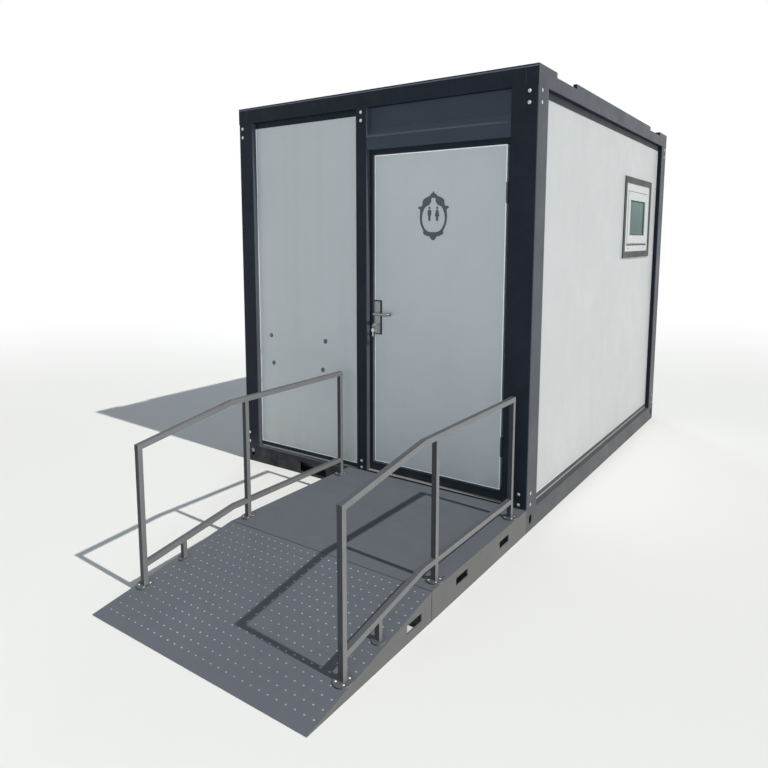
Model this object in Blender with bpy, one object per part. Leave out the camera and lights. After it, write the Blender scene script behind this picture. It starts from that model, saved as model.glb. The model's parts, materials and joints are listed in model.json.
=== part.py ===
# Accessible portable toilet: a steel-framed sandwich-panel cabin with a landing, a ramp and handrails.
# Units are metres, +Z is up, the ramp points to -Y and the cabin's rear to +Y.
# The origin is the centre of the footprint, on the ground.

import bpy
import bmesh
from math import cos, sin, pi, radians, hypot, copysign
from mathutils import Matrix, Vector

# Whole cabin
CABIN_WIDTH = 2.18
CABIN_DEPTH = 2.91
CABIN_HEIGHT = 2.50
SEAT_GAP = 0.0003
BITE = 0.002
PAST = 0.01
FINE_PAST = 0.001

# Base frame
BASE_CORNER_HEIGHT = 0.136
BASE_BEAM_HEIGHT = 0.118
BEAM_FLANGE = 0.125
SHEET_WALL = 0.004
LIFT_HOLE_WIDTH = 0.036
LIFT_HOLE_HEIGHT = 0.057
LIFT_HOLE_Z = 0.066
LIFT_HOLE_INSET = 0.058
FORK_POCKET_WIDTH = 0.23
FORK_POCKET_HEIGHT = 0.068
FORK_POCKET_Z = 0.051
FORK_POCKET_X = 0.455
FLOOR_TOP = 0.175

# Posts
POST_FACE = 0.125
POST_SIDE = 0.144
POST_WALL = 0.003
POST_RADIUS = 0.007
DOOR_LIP_WIDTH = 0.023
DOOR_LIP_DEPTH = 0.030
MID_POST_WIDTH = 0.084
MID_POST_DEPTH = 0.090
MID_POST_X = -0.036

# Roof frame
ROOF_HEIGHT = 0.103
ROOF_SIDE_HEIGHT = 0.076
ROOF_CORNER_WIDTH = 0.070
ROOF_CORNER_LENGTH = 0.255
ROOF_UPSTAND_FRONT_GAP = 0.57
ROOF_UPSTAND_REAR_GAP = 0.58
ROOF_UPSTAND_WIDTH = 0.022
ROOF_PANEL_THICKNESS = 0.058
ROOF_RIB_COUNT = 6
ROOF_RIB_WIDTH = 0.060
ROOF_RIB_CLEAR = 0.012
ROOF_RIB_BELOW_TOP = 0.006
ROOF_RIB_CROWN = 0.033

# Wall panels
PANEL_THICKNESS = 0.060
PANEL_RECESS = 0.035

# Door and its frame
HEADER_HEIGHT = 0.250
HEADER_FACE = 0.075
HEADER_SLOPE = 0.048
HEADER_RECESS = 0.030
HEADER_BACK = 0.090
FRAME_DEPTH = 0.088
FRAME_JAMB = 0.0245
FRAME_HINGE_JAMB = 0.039
FRAME_HEAD = 0.025
FRAME_SILL = 0.078
SILL_NOSE_HEIGHT = 0.026
DOOR_CLEARANCE = 0.0035
DOOR_HINGE_GAP = 0.0185
DOOR_THICKNESS = 0.040
DOOR_RECESS = 0.046

# Door hinges
HINGE_FROM_END = 0.255
HINGE_LENGTH = 0.110
HINGE_KNUCKLE_RADIUS = 0.008
HINGE_PIN_RADIUS = 0.0040
HINGE_RUNNING_FIT = 0.0001
HINGE_KNUCKLE_CLEAR = 0.0012
HINGE_LEAF = 0.002
HINGE_LEAF_REACH = 0.045
HINGE_AXIS_FORWARD = 0.012

# Door lock
LOCK_X_FROM_EDGE = 0.026
LEVER_Z = 1.155
THUMB_Z = 1.085
LOCK_PLATE_WIDTH = 0.044
LOCK_PLATE_LOW = 1.030
LOCK_PLATE_HIGH = 1.230
LOCK_PLATE_THICKNESS = 0.009
LEVER_STANDOFF = 0.046
LEVER_LENGTH = 0.108
LEVER_RADIUS = 0.0085
LEVER_BEND = 0.014
LEVER_RETURN = 0.026
SPINDLE_RADIUS = 0.004
SPINDLE_FIT = 0.0005
TURN_RADIUS = 0.013
TURN_GRIP_HEIGHT = 0.034
TURN_GRIP_THICKNESS = 0.007
TURN_GRIP_REACH = 0.030
BOLT_HEIGHT = 0.020
BOLT_THICKNESS = 0.012
BOLT_LENGTH = 0.020
BOLT_FIT = 0.0005
KEEP_FIT = 0.001
KEEP_SPARE = 0.002
LATCH_REACH = 0.0105
DEAD_BOLT_STROKE = 0.012

# Window in the right wall
WINDOW_FROM_REAR = 0.737
WINDOW_BELOW_ROOF = 0.619
WINDOW_WIDTH = 0.69
WINDOW_HEIGHT = 0.515
WINDOW_FRAME_FACE = 0.058
WINDOW_FRAME_PROUD = 0.007
WINDOW_FRAME_DEPTH = 0.072
WINDOW_TRIM_FACE = 0.045
WINDOW_TRIM_PROUD = 0.012
SASH_CLEARANCE = 0.004
SASH_FACE = 0.062
SASH_DEPTH = 0.042
SASH_PROUD = 0.002
GLASS_THICKNESS = 0.020
GLASS_BITE = 0.010
GLASS_SETBACK = 0.010
SASH_STOP = 0.012
HANDLE_STANDOFF = 0.045
HANDLE_LENGTH = 0.105
HANDLE_ROSE = 0.015
HANDLE_RADIUS = 0.007
HANDLE_BEND = 0.012
HANDLE_ROSE_THICKNESS = 0.008

# Landing and ramp
LANDING_DEPTH = 1.014
LANDING_TOP = 0.136
LANDING_WIDTH = 1.230
RAMP_RUN = 0.796
RAMP_LIP = 0.003
DECK_PLATE = 0.005
DECK_SKIRT = 0.006
SLOT_LENGTH = 0.112
SLOT_HEIGHT = 0.038
REAR_SLOT_BACK = 0.285
REAR_SLOT_Z = 0.071
FRONT_SLOT_BACK = 0.272
FRONT_SLOT_Z = 0.081
RAMP_SLOT_AHEAD = 0.136
RAMP_SLOT_Z = 0.061

# Handrails
RAIL_TUBE = 0.025
RAIL_INSET = 0.038
RAIL_POST_REAR_GAP = 0.138
RAIL_POST_MIDDLE_BACK = 0.085
RAIL_POST_TOE_GAP = 0.237
RAIL_BEND_AHEAD = 0.019
TOP_RAIL_HEIGHT = 0.648
LOW_RAIL_HEIGHT = 0.096
STUB_AHEAD = 0.336
STUB_THINNER = 0.002
FOOT_RADIUS = 0.038
FOOT_THICKNESS = 0.006
STUB_FOOT_RADIUS = 0.0285

# Toilet
PAN_FROM_WALL = 0.450
PAN_PROJECTION = 0.70
PAN_WIDTH = 0.36
PAN_HEIGHT = 0.400
BOWL_DEPTH = 0.235
SEAT_LENGTH = 0.43
SEAT_THICKNESS = 0.022
LID_THICKNESS = 0.018
SEAT_PIN_RADIUS = 0.007
SEAT_PIN_FIT = 0.0002
SEAT_KNUCKLE_WALL = 0.006
SEAT_LIP = 0.003
SEAT_EDGE = 0.006
SEAT_AXIS_BEHIND = 0.030
SEAT_AXIS_RISE = 0.004
SEAT_LUG_X = 0.060
SEAT_LUG_WIDTH = 0.024
LID_LUG_GAP = 0.0005
LID_LUG_WIDTH = 0.0235
LID_GAP = 0.003
HINGE_POST_GAP = 0.001
HINGE_POST_WIDTH = 0.018
HINGE_POST_HALF_DEPTH = 0.008
LID_OPEN = radians(97)
CISTERN_WIDTH = 0.38
CISTERN_DEPTH = 0.145
CISTERN_HEIGHT = 0.40
BUTTON_RADIUS = 0.026
BUTTON_STROKE = 0.006
BUTTON_FIT = 0.0008
BUTTON_SINK = 0.009
CISTERN_LID = 0.035

# Wash basin and tap
BASIN_FROM_WALL = 0.385
BASIN_WIDTH = 0.54
BASIN_REACH = 0.42
BASIN_RIM_HEIGHT = 0.805
BASIN_HEIGHT = 0.190
BASIN_WALL = 0.022
DRAIN_FROM_WALL = 0.20
DRAIN_RADIUS = 0.014
DRAIN_PIPE_RADIUS = 0.020
DRAIN_PIPE_DROP = 0.06
TAP_FROM_WALL = 0.048
TAP_RADIUS = 0.022
TAP_HEIGHT = 0.100
TAP_SPOUT = 0.125
TAP_SPOUT_RADIUS = 0.0105
TAP_LEVER_LENGTH = 0.115

# Rails, holder, mirror, light and switch
GRAB_TUBE = 0.016
GRAB_HEIGHT = 0.700
GRAB_LENGTH = 0.60
GRAB_STANDOFF = 0.058
GRAB_FLANGE = 0.036
GRAB_FLANGE_THICKNESS = 0.006
GRAB_FROM_REAR = 0.10
GRAB_BEND = 0.03
FOLD_RAIL_OFFSET = 0.350
FOLD_RAIL_HEIGHT = 0.800
FOLD_RAIL_LENGTH = 0.70
FOLD_RAIL_DROP = 0.150
FOLD_PLATE_WIDTH = 0.110
FOLD_PLATE_HEIGHT = 0.240
FOLD_PLATE_THICKNESS = 0.008
FOLD_EAR = 0.006
FOLD_EAR_REACH = 0.052
FOLD_EAR_HEIGHT = 0.040
FOLD_AXIS_FORWARD = 0.036
FOLD_SIDE_GAP = 0.004
FOLD_PLATE_ABOVE = 0.05
FOLD_PIN_RADIUS = 0.006
FOLD_PIN_FIT = 0.0002
FOLD_BEND = 0.06
HOLDER_HEIGHT = 0.530
HOLDER_FROM_REAR = 0.735
HOLDER_ROD = 0.006
HOLDER_BACK_GAP = 0.018
HOLDER_END_GAP = 0.012
HOLDER_BEND = 0.016
HOLDER_PLATE = 0.060
HOLDER_PLATE_THICKNESS = 0.006
HOLDER_PLATE_PAST = 0.02
ROLL_RADIUS = 0.052
ROLL_WIDTH = 0.100
ROLL_CORE = 0.021
ROLL_REST_GAP = 0.001
MIRROR_WIDTH = 0.40
MIRROR_HEIGHT = 0.60
MIRROR_LOW = 1.18
MIRROR_THICKNESS = 0.006
LIGHT_RADIUS = 0.150
LIGHT_HEIGHT = 0.050
SWITCH_Y = 0.32
SWITCH_Z = 1.12
SWITCH_SIZE = 0.086
SWITCH_THICKNESS = 0.010
SWITCH_FLOOR = 0.002
ROCKER_WIDTH = 0.030
ROCKER_HEIGHT = 0.050
ROCKER_FIT = 0.0015
ROCKER_PROUD = 0.004
ROCKER_SKIRT = 0.002
ROCKER_TILT = radians(6)

# Places that follow from the sizes above
SIDE = CABIN_WIDTH / 2
FRONT_Y = RAMP_RUN + LANDING_DEPTH - (RAMP_RUN + LANDING_DEPTH + CABIN_DEPTH) / 2
POST_INNER = SIDE - POST_FACE
WALL_OUTER = SIDE - PANEL_RECESS
ROOM_SIDE = WALL_OUTER - PANEL_THICKNESS
PAN_X = PAN_FROM_WALL - ROOM_SIDE
BASIN_X = BASIN_FROM_WALL - ROOM_SIDE
ROOM_FRONT = PANEL_RECESS + PANEL_THICKNESS
ROOM_REAR = CABIN_DEPTH - ROOM_FRONT
WALL_LOW = BASE_BEAM_HEIGHT + SEAT_GAP
ROOF_LOW = CABIN_HEIGHT - ROOF_HEIGHT
WALL_HIGH = ROOF_LOW - SEAT_GAP
MID_LEFT = MID_POST_X - MID_POST_WIDTH / 2
MID_RIGHT = MID_POST_X + MID_POST_WIDTH / 2
DOOR_OPENING_LEFT = MID_RIGHT + SEAT_GAP
DOOR_OPENING_RIGHT = POST_INNER - SEAT_GAP
DOOR_LEFT = DOOR_OPENING_LEFT + FRAME_JAMB + DOOR_CLEARANCE
DOOR_RIGHT = DOOR_OPENING_RIGHT - FRAME_HINGE_JAMB - DOOR_HINGE_GAP
DOOR_LOW = WALL_LOW + FRAME_SILL + DOOR_CLEARANCE
HEADER_BOTTOM = ROOF_LOW - HEADER_HEIGHT
HEADER_SLOPE_BOTTOM = HEADER_BOTTOM + HEADER_FACE
HEADER_SLOPE_TOP = HEADER_SLOPE_BOTTOM + HEADER_SLOPE
DOOR_HIGH = HEADER_BOTTOM - SEAT_GAP - FRAME_HEAD - DOOR_CLEARANCE
DOOR_BACK = DOOR_RECESS + DOOR_THICKNESS
HINGE_X = DOOR_RIGHT + HINGE_LEAF + HINGE_KNUCKLE_RADIUS - SEAT_GAP
HINGE_Y = DOOR_RECESS - HINGE_AXIS_FORWARD
HINGE_HEIGHTS = {"lower": DOOR_LOW + HINGE_FROM_END, "upper": DOOR_HIGH - HINGE_FROM_END}
LOCK_X = DOOR_LEFT + LOCK_X_FROM_EDGE
WINDOW_Y = CABIN_DEPTH - WINDOW_FROM_REAR
WINDOW_Z = ROOF_LOW - WINDOW_BELOW_ROOF
DECK_RIGHT = SIDE
DECK_LEFT = SIDE - LANDING_WIDTH
RAMP_START = -LANDING_DEPTH - SEAT_GAP
RAMP_TOE = -LANDING_DEPTH - RAMP_RUN
LANDING_SLOTS = [(-REAR_SLOT_BACK, REAR_SLOT_Z), (FRONT_SLOT_BACK - LANDING_DEPTH, FRONT_SLOT_Z)]
RAMP_SLOT = (-LANDING_DEPTH - RAMP_SLOT_AHEAD, RAMP_SLOT_Z)
RAIL_POSTS = [-RAIL_POST_REAR_GAP, RAIL_POST_MIDDLE_BACK - LANDING_DEPTH, RAMP_TOE + RAIL_POST_TOE_GAP]
RAIL_BEND_Y = -LANDING_DEPTH - RAIL_BEND_AHEAD
STUB_Y = -LANDING_DEPTH - STUB_AHEAD
PAN_TOP = FLOOR_TOP + SEAT_GAP + PAN_HEIGHT
PAN_FRONT = ROOM_REAR - PAN_PROJECTION
SEAT_BACK = PAN_FRONT + SEAT_LENGTH
SEAT_AXIS_Y = SEAT_BACK + SEAT_AXIS_BEHIND
SEAT_AXIS_Z = PAN_TOP + SEAT_THICKNESS + LID_THICKNESS / 2 + SEAT_AXIS_RISE
LID_LUG_X = SEAT_LUG_X + SEAT_LUG_WIDTH + LID_LUG_GAP
HINGE_POST_X = LID_LUG_X + LID_LUG_WIDTH + HINGE_POST_GAP
CISTERN_FRONT = ROOM_REAR - SEAT_GAP - CISTERN_DEPTH
BASIN_RIM = FLOOR_TOP + BASIN_RIM_HEIGHT
BASIN_BACK = ROOM_FRONT + SEAT_GAP
HOLDER_Y = ROOM_REAR - HOLDER_FROM_REAR
LIGHT_Y = CABIN_DEPTH / 2


# Materials

def finish(name, color, roughness, metallic=0.0, alpha=1.0):
    mat = bpy.data.materials.new(name)
    mat.use_nodes = True
    shader = mat.node_tree.nodes["Principled BSDF"]
    shader.inputs["Base Color"].default_value = (*color, 1.0)
    shader.inputs["Roughness"].default_value = roughness
    shader.inputs["Metallic"].default_value = metallic
    shader.inputs["Alpha"].default_value = alpha
    mat.diffuse_color = (*color, alpha)
    return mat


FRAME_PAINT = ((0.020, 0.028, 0.045), 0.45, 0.3)
WALL_PAINT = ((0.62, 0.65, 0.63), 0.40)
DECK_PAINT = ((0.13, 0.15, 0.18), 0.50, 0.3)
RAIL_PAINT = ((0.11, 0.13, 0.15), 0.40, 0.4)
WHITE_PLASTIC = ((0.80, 0.81, 0.80), 0.30)
CERAMIC = ((0.86, 0.86, 0.84), 0.12)
STEEL = ((0.55, 0.56, 0.57), 0.28, 1.0)
CHROME = ((0.75, 0.76, 0.78), 0.12, 1.0)


# Mesh helpers

def new_object(name, bm, look, smooth=False):
    bmesh.ops.recalc_face_normals(bm, faces=bm.faces)
    mesh = bpy.data.meshes.new(name)
    bm.to_mesh(mesh)
    bm.free()
    if smooth:
        mesh.shade_smooth()
        mesh.set_sharp_from_angle(angle=radians(35))
    obj = bpy.data.objects.new(name, mesh)
    bpy.context.scene.collection.objects.link(obj)
    obj.parent = cabin_origin
    if look:
        mesh.materials.append(finish(name, *look))
    return obj


def add_box(bm, low, high):
    corners = []
    for z in (low[2], high[2]):
        for x, y in ((low[0], low[1]), (high[0], low[1]), (high[0], high[1]), (low[0], high[1])):
            corners.append(bm.verts.new((x, y, z)))
    bm.faces.new(corners[0:4][::-1])
    bm.faces.new(corners[4:8])
    for i in range(4):
        j = (i + 1) % 4
        bm.faces.new((corners[i], corners[j], corners[j + 4], corners[i + 4]))


def box(name, low, high, look=None):
    bm = bmesh.new()
    add_box(bm, low, high)
    return new_object(name, bm, look)


def along(axis, u, v, w):
    # u and v lie across the axis in X, Y, Z order, w lies along it.
    if axis == "x":
        return (w, u, v)
    if axis == "y":
        return (u, w, v)
    return (u, v, w)


def add_prism(bm, outline, axis, start, end, hole=None):
    rows = []
    for w in (start, end):
        rows.append([[bm.verts.new(along(axis, u, v, w)) for u, v in line]
                     for line in ([outline, hole] if hole else [outline])])
    for line in range(len(rows[0])):
        low, high = rows[0][line], rows[1][line]
        for i in range(len(low)):
            j = (i + 1) % len(low)
            bm.faces.new((low[i], low[j], high[j], high[i]))
    for row in rows:
        if hole:
            for i in range(len(outline)):
                j = (i + 1) % len(outline)
                bm.faces.new((row[0][i], row[0][j], row[1][j], row[1][i]))
        else:
            bm.faces.new(row[0])


def prism(name, outline, axis, start, end, look=None, hole=None, smooth=False):
    bm = bmesh.new()
    add_prism(bm, outline, axis, start, end, hole)
    return new_object(name, bm, look, smooth)


def circle(u, v, radius, sides=24):
    angles = [2 * pi * i / sides for i in range(sides)]
    return [(u + radius * cos(angle), v + radius * sin(angle)) for angle in angles]


def rounded(u0, v0, u1, v1, radius, steps=3):
    # A rectangle with round corners.
    points = []
    for cu, cv, turn in ((u1, v1, 0), (u0, v1, 1), (u0, v0, 2), (u1, v0, 3)):
        centre = (cu - copysign(radius, cu - (u0 + u1) / 2), cv - copysign(radius, cv - (v0 + v1) / 2))
        for i in range(steps + 1):
            angle = (turn + i / steps) * pi / 2
            points.append((centre[0] + radius * cos(angle), centre[1] + radius * sin(angle)))
    return points


def channel(outer, inner, low, high, wall):
    # A C section across its run: web on the outer side, flanges towards inner.
    step = copysign(wall, inner - outer)
    return [(outer, low), (inner, low), (inner, low + wall), (outer + step, low + wall),
            (outer + step, high - wall), (inner, high - wall), (inner, high), (outer, high)]


def add_tube(bm, points, radius, sides=12):
    # A round bar along a path, with flat ends.
    path = [Vector(p) for p in points]
    up = Vector((0, 0, 1))
    first = (path[1] - path[0]).normalized()
    if abs(first.dot(up)) > 0.9:
        up = Vector((1, 0, 0))
    side = first.cross(up).normalized()
    rings = []
    for i, point in enumerate(path):
        before = (point - path[i - 1]).normalized() if i else first
        after = (path[i + 1] - point).normalized() if i + 1 < len(path) else before
        ahead = (before + after).normalized()
        side = (side - ahead * side.dot(ahead)).normalized()
        other = ahead.cross(side)
        rings.append([bm.verts.new(point + u * side + v * other) for u, v in circle(0, 0, radius, sides)])
    for low, high in zip(rings, rings[1:]):
        for k in range(sides):
            j = (k + 1) % sides
            bm.faces.new((low[k], low[j], high[j], high[k]))
    bm.faces.new(rings[0][::-1])
    bm.faces.new(rings[-1])


def tube(name, points, radius, look=None, sides=12):
    bm = bmesh.new()
    add_tube(bm, points, radius, sides)
    return new_object(name, bm, look, True)


def loft(name, rings, look=None, smooth=True):
    # Closed skin through rings of equal point count, with flat first and last faces.
    bm = bmesh.new()
    rows = [[bm.verts.new(p) for p in ring] for ring in rings]
    for low, high in zip(rows, rows[1:]):
        for k in range(len(low)):
            j = (k + 1) % len(low)
            bm.faces.new((low[k], low[j], high[j], high[k]))
    bm.faces.new(rows[0][::-1])
    bm.faces.new(rows[-1])
    return new_object(name, bm, look, smooth)


def turned(name, profile, centre, axis, look=None, sides=24):
    # A solid of revolution: profile points are (radius, height) from the first end to the last.
    rings = []
    for radius, height in profile:
        rings.append([tuple(Vector(centre) + Vector(along(axis, u, v, height)))
                      for u, v in circle(0, 0, radius, sides)])
    return loft(name, rings, look)


def bent(start, corner, end, radius, steps=5):
    # Points of a round bend that replaces the corner of two straight runs.
    a, b, c = Vector(start), Vector(corner), Vector(end)
    back, ahead = (a - b).normalized(), (c - b).normalized()
    first, last = b + back * radius, b + ahead * radius
    points = []
    for i in range(steps + 1):
        t = i / steps
        points.append((1 - t) ** 2 * first + 2 * t * (1 - t) * b + t ** 2 * last)
    return points


def change(target, tool, operation="DIFFERENCE"):
    # A boolean with a hidden tool, which stays in the file as a wire guide.
    tool.hide_render = True
    tool.display_type = "WIRE"
    modifier = target.modifiers.new(tool.name, "BOOLEAN")
    modifier.operation = operation
    modifier.solver = "EXACT"
    modifier.object = tool
    return target


def add(target, tool):
    return change(target, tool, "UNION")


def cut_boxes(target, name, boxes):
    bm = bmesh.new()
    for low, high in boxes:
        add_box(bm, low, high)
    return change(target, new_object(name, bm, None))


def pivot(obj, point):
    # Moves the object's origin to a point on its joint's axis.
    obj.data.transform(Matrix.Translation(-Vector(point)))
    obj.location = point
    return obj


# Base frame

def lift_hole(u, v):
    half = LIFT_HOLE_WIDTH / 2
    straight = LIFT_HOLE_HEIGHT / 2 - half
    points = []
    for centre, turn in ((v + straight, 0), (v - straight, 1)):
        for i in range(9):
            angle = (turn + i / 8) * pi
            points.append((u + half * cos(angle), centre + half * sin(angle)))
    return points


def base_side(name, side):
    outer, inner = side * SIDE, side * (SIDE - BEAM_FLANGE)
    beam = prism(name, channel(outer, inner, 0, BASE_BEAM_HEIGHT, SHEET_WALL), "y",
                 POST_SIDE / 2, CABIN_DEPTH - POST_SIDE / 2, FRAME_PAINT)
    low_x, high_x = sorted((outer, side * POST_INNER))
    for end, label in ((0, "front"), (CABIN_DEPTH, "rear")):
        away = 1 if end == 0 else -1
        low_y, high_y = sorted((end, end + away * POST_SIDE))
        block = box(f"{name}_{label}_block", (low_x, low_y, 0), (high_x, high_y, BASE_CORNER_HEIGHT))
        add(beam, block)
        wall = SHEET_WALL + BITE
        cut_boxes(beam, f"{name}_{label}_hollow", [((low_x + wall, low_y + wall, -PAST),
                  (high_x - wall, high_y - wall, BASE_CORNER_HEIGHT - wall))])
        hole_y = end + away * LIFT_HOLE_INSET
        change(beam, prism(f"{name}_{label}_side_hole", lift_hole(hole_y, LIFT_HOLE_Z), "x",
                           outer - side * 2 * PAST, outer + side * PAST))
        hole_x = side * (SIDE - LIFT_HOLE_INSET)
        change(beam, prism(f"{name}_{label}_end_hole", lift_hole(hole_x, LIFT_HOLE_Z), "y",
                           end - away * PAST, end + away * 2 * PAST))
    return beam


def base_cross_beam(name, outer, inner):
    beam = prism(name, channel(outer, inner, 0, BASE_BEAM_HEIGHT, SHEET_WALL), "x",
                 -POST_INNER + SEAT_GAP, POST_INNER - SEAT_GAP, FRAME_PAINT)
    pockets = []
    half_w, half_h = FORK_POCKET_WIDTH / 2, FORK_POCKET_HEIGHT / 2
    for centre in (-FORK_POCKET_X, FORK_POCKET_X):
        pockets.append(((centre - half_w, min(outer, inner) - PAST, FORK_POCKET_Z - half_h),
                        (centre + half_w, max(outer, inner) + PAST, FORK_POCKET_Z + half_h)))
    return cut_boxes(beam, f"{name}_pockets", pockets)


def floor_panel():
    side, corner = ROOM_SIDE - SEAT_GAP, POST_INNER - SEAT_GAP
    front, rear = ROOM_FRONT + SEAT_GAP, ROOM_REAR - SEAT_GAP
    notch = POST_SIDE + SEAT_GAP
    outline = [(-corner, front), (corner, front), (corner, notch), (side, notch),
               (side, CABIN_DEPTH - notch), (corner, CABIN_DEPTH - notch), (corner, rear),
               (-corner, rear), (-corner, CABIN_DEPTH - notch), (-side, CABIN_DEPTH - notch),
               (-side, notch), (-corner, notch)]
    return prism("floor_panel", outline, "z", WALL_LOW, FLOOR_TOP, ((0.35, 0.37, 0.38), 0.6))


# Posts

def corner_post(name, side, end):
    low_x, high_x = sorted((side * SIDE, side * POST_INNER))
    low_y, high_y = (0, POST_SIDE) if end == "front" else (CABIN_DEPTH - POST_SIDE, CABIN_DEPTH)
    outline = rounded(low_x, low_y, high_x, high_y, POST_RADIUS)
    bore = rounded(low_x + POST_WALL, low_y + POST_WALL, high_x - POST_WALL, high_y - POST_WALL,
                   POST_RADIUS - POST_WALL)
    low_z, high_z = BASE_CORNER_HEIGHT + SEAT_GAP, ROOF_LOW - SEAT_GAP
    post = prism(name, outline, "z", low_z, high_z, FRAME_PAINT, bore, True)
    if side > 0 and end == "front":
        face = SEAT_GAP
        lip = box(f"{name}_lip", (POST_INNER - DOOR_LIP_WIDTH, face, low_z),
                  (POST_INNER + POST_RADIUS, DOOR_LIP_DEPTH, high_z))
        cavity = box(f"{name}_lip_bore", (POST_INNER + POST_WALL, face + POST_WALL, low_z - PAST),
                     (POST_INNER + POST_RADIUS + FINE_PAST, DOOR_LIP_DEPTH + FINE_PAST, high_z + PAST))
        change(add(post, lip), cavity)
    return post


def mid_post():
    outline = rounded(MID_LEFT, 0, MID_RIGHT, MID_POST_DEPTH, POST_RADIUS)
    bore = rounded(MID_LEFT + POST_WALL, POST_WALL, MID_RIGHT - POST_WALL, MID_POST_DEPTH - POST_WALL,
                   POST_RADIUS - POST_WALL)
    return prism("mid_post", outline, "z", WALL_LOW, WALL_HIGH, FRAME_PAINT, bore, True)


# Roof

def roof_side(name, side):
    outer, inner = side * SIDE, side * (SIDE - BEAM_FLANGE)
    beam_top = ROOF_LOW + ROOF_SIDE_HEIGHT
    beam = prism(name, channel(outer, inner, ROOF_LOW, beam_top, SHEET_WALL), "y",
                 ROOF_CORNER_LENGTH - 2 * PAST, CABIN_DEPTH - ROOF_CORNER_LENGTH + 2 * PAST, FRAME_PAINT)
    low_x, high_x = sorted((outer, side * (SIDE - ROOF_CORNER_WIDTH)))
    for low_y, high_y, label in ((0, ROOF_CORNER_LENGTH, "front"),
                                 (CABIN_DEPTH - ROOF_CORNER_LENGTH, CABIN_DEPTH, "rear")):
        add(beam, box(f"{name}_{label}_block", (low_x, low_y, ROOF_LOW), (high_x, high_y, CABIN_HEIGHT)))
    low_x, high_x = sorted((outer, side * (SIDE - ROOF_UPSTAND_WIDTH)))
    add(beam, box(f"{name}_upstand", (low_x, ROOF_UPSTAND_FRONT_GAP, beam_top - BITE),
                  (high_x, CABIN_DEPTH - ROOF_UPSTAND_REAR_GAP, CABIN_HEIGHT)))
    return beam


def roof_cross_beam(name, outer, inner):
    reach = SIDE - ROOF_CORNER_WIDTH - SEAT_GAP
    return prism(name, channel(outer, inner, ROOF_LOW, CABIN_HEIGHT, SHEET_WALL), "x", -reach, reach,
                 FRAME_PAINT)


def roof_panel():
    clear = SHEET_WALL + SEAT_GAP
    side, corner = SIDE - clear, SIDE - ROOF_CORNER_WIDTH - SEAT_GAP
    front, rear = clear, CABIN_DEPTH - clear
    notch = ROOF_CORNER_LENGTH + SEAT_GAP
    outline = [(-corner, front), (corner, front), (corner, notch), (side, notch),
               (side, CABIN_DEPTH - notch), (corner, CABIN_DEPTH - notch), (corner, rear),
               (-corner, rear), (-corner, CABIN_DEPTH - notch), (-side, CABIN_DEPTH - notch),
               (-side, notch), (-corner, notch)]
    low = ROOF_LOW + clear
    panel = prism("roof_panel", outline, "z", low, low + ROOF_PANEL_THICKNESS, ((0.45, 0.47, 0.48), 0.45))
    span = 2 * (SIDE - BEAM_FLANGE) - 2 * ROOF_RIB_CLEAR - ROOF_RIB_WIDTH
    rib_low = low + ROOF_PANEL_THICKNESS - BITE
    rib_top = CABIN_HEIGHT - ROOF_RIB_BELOW_TOP
    half, crown = ROOF_RIB_WIDTH / 2, ROOF_RIB_CROWN / 2
    bm = bmesh.new()
    for i in range(ROOF_RIB_COUNT):
        x = -span / 2 + span * i / (ROOF_RIB_COUNT - 1)
        rib = [(x - half, rib_low), (x + half, rib_low), (x + crown, rib_top), (x - crown, rib_top)]
        add_prism(bm, rib, "y", BEAM_FLANGE + ROOF_RIB_CLEAR, CABIN_DEPTH - BEAM_FLANGE - ROOF_RIB_CLEAR)
    return add(panel, new_object("roof_ribs", bm, None))


# Walls

def wall_panels():
    box("front_panel", (-POST_INNER + SEAT_GAP, PANEL_RECESS, WALL_LOW),
        (MID_LEFT - SEAT_GAP, ROOM_FRONT, WALL_HIGH), WALL_PAINT)
    box("rear_wall_panel", (-POST_INNER + SEAT_GAP, ROOM_REAR, WALL_LOW),
        (POST_INNER - SEAT_GAP, CABIN_DEPTH - PANEL_RECESS, WALL_HIGH), WALL_PAINT)
    low_y, high_y = POST_SIDE + SEAT_GAP, CABIN_DEPTH - POST_SIDE - SEAT_GAP
    box("left_wall_panel", (-WALL_OUTER, low_y, WALL_LOW), (-ROOM_SIDE, high_y, WALL_HIGH), WALL_PAINT)
    right = box("right_wall_panel", (ROOM_SIDE, low_y, WALL_LOW), (WALL_OUTER, high_y, WALL_HIGH),
                WALL_PAINT)
    half_w, half_h = WINDOW_WIDTH / 2 + SEAT_GAP, WINDOW_HEIGHT / 2 + SEAT_GAP
    cut_boxes(right, "window_hole", [((ROOM_SIDE - PAST, WINDOW_Y - half_w, WINDOW_Z - half_h),
                                      (WALL_OUTER + PAST, WINDOW_Y + half_w, WINDOW_Z + half_h))])


# Door

def header_canopy():
    # Recessed plate above, drip slope, and a plain face down to the door frame.
    low, high = HEADER_BOTTOM, WALL_HIGH
    outline = [(0, low), (0, HEADER_SLOPE_BOTTOM), (HEADER_RECESS, HEADER_SLOPE_TOP), (HEADER_RECESS, high),
               (HEADER_BACK, high), (HEADER_BACK, low)]
    return prism("header_canopy", outline, "x", DOOR_OPENING_LEFT,
                 POST_INNER - DOOR_LIP_WIDTH - SEAT_GAP, FRAME_PAINT)


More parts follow.
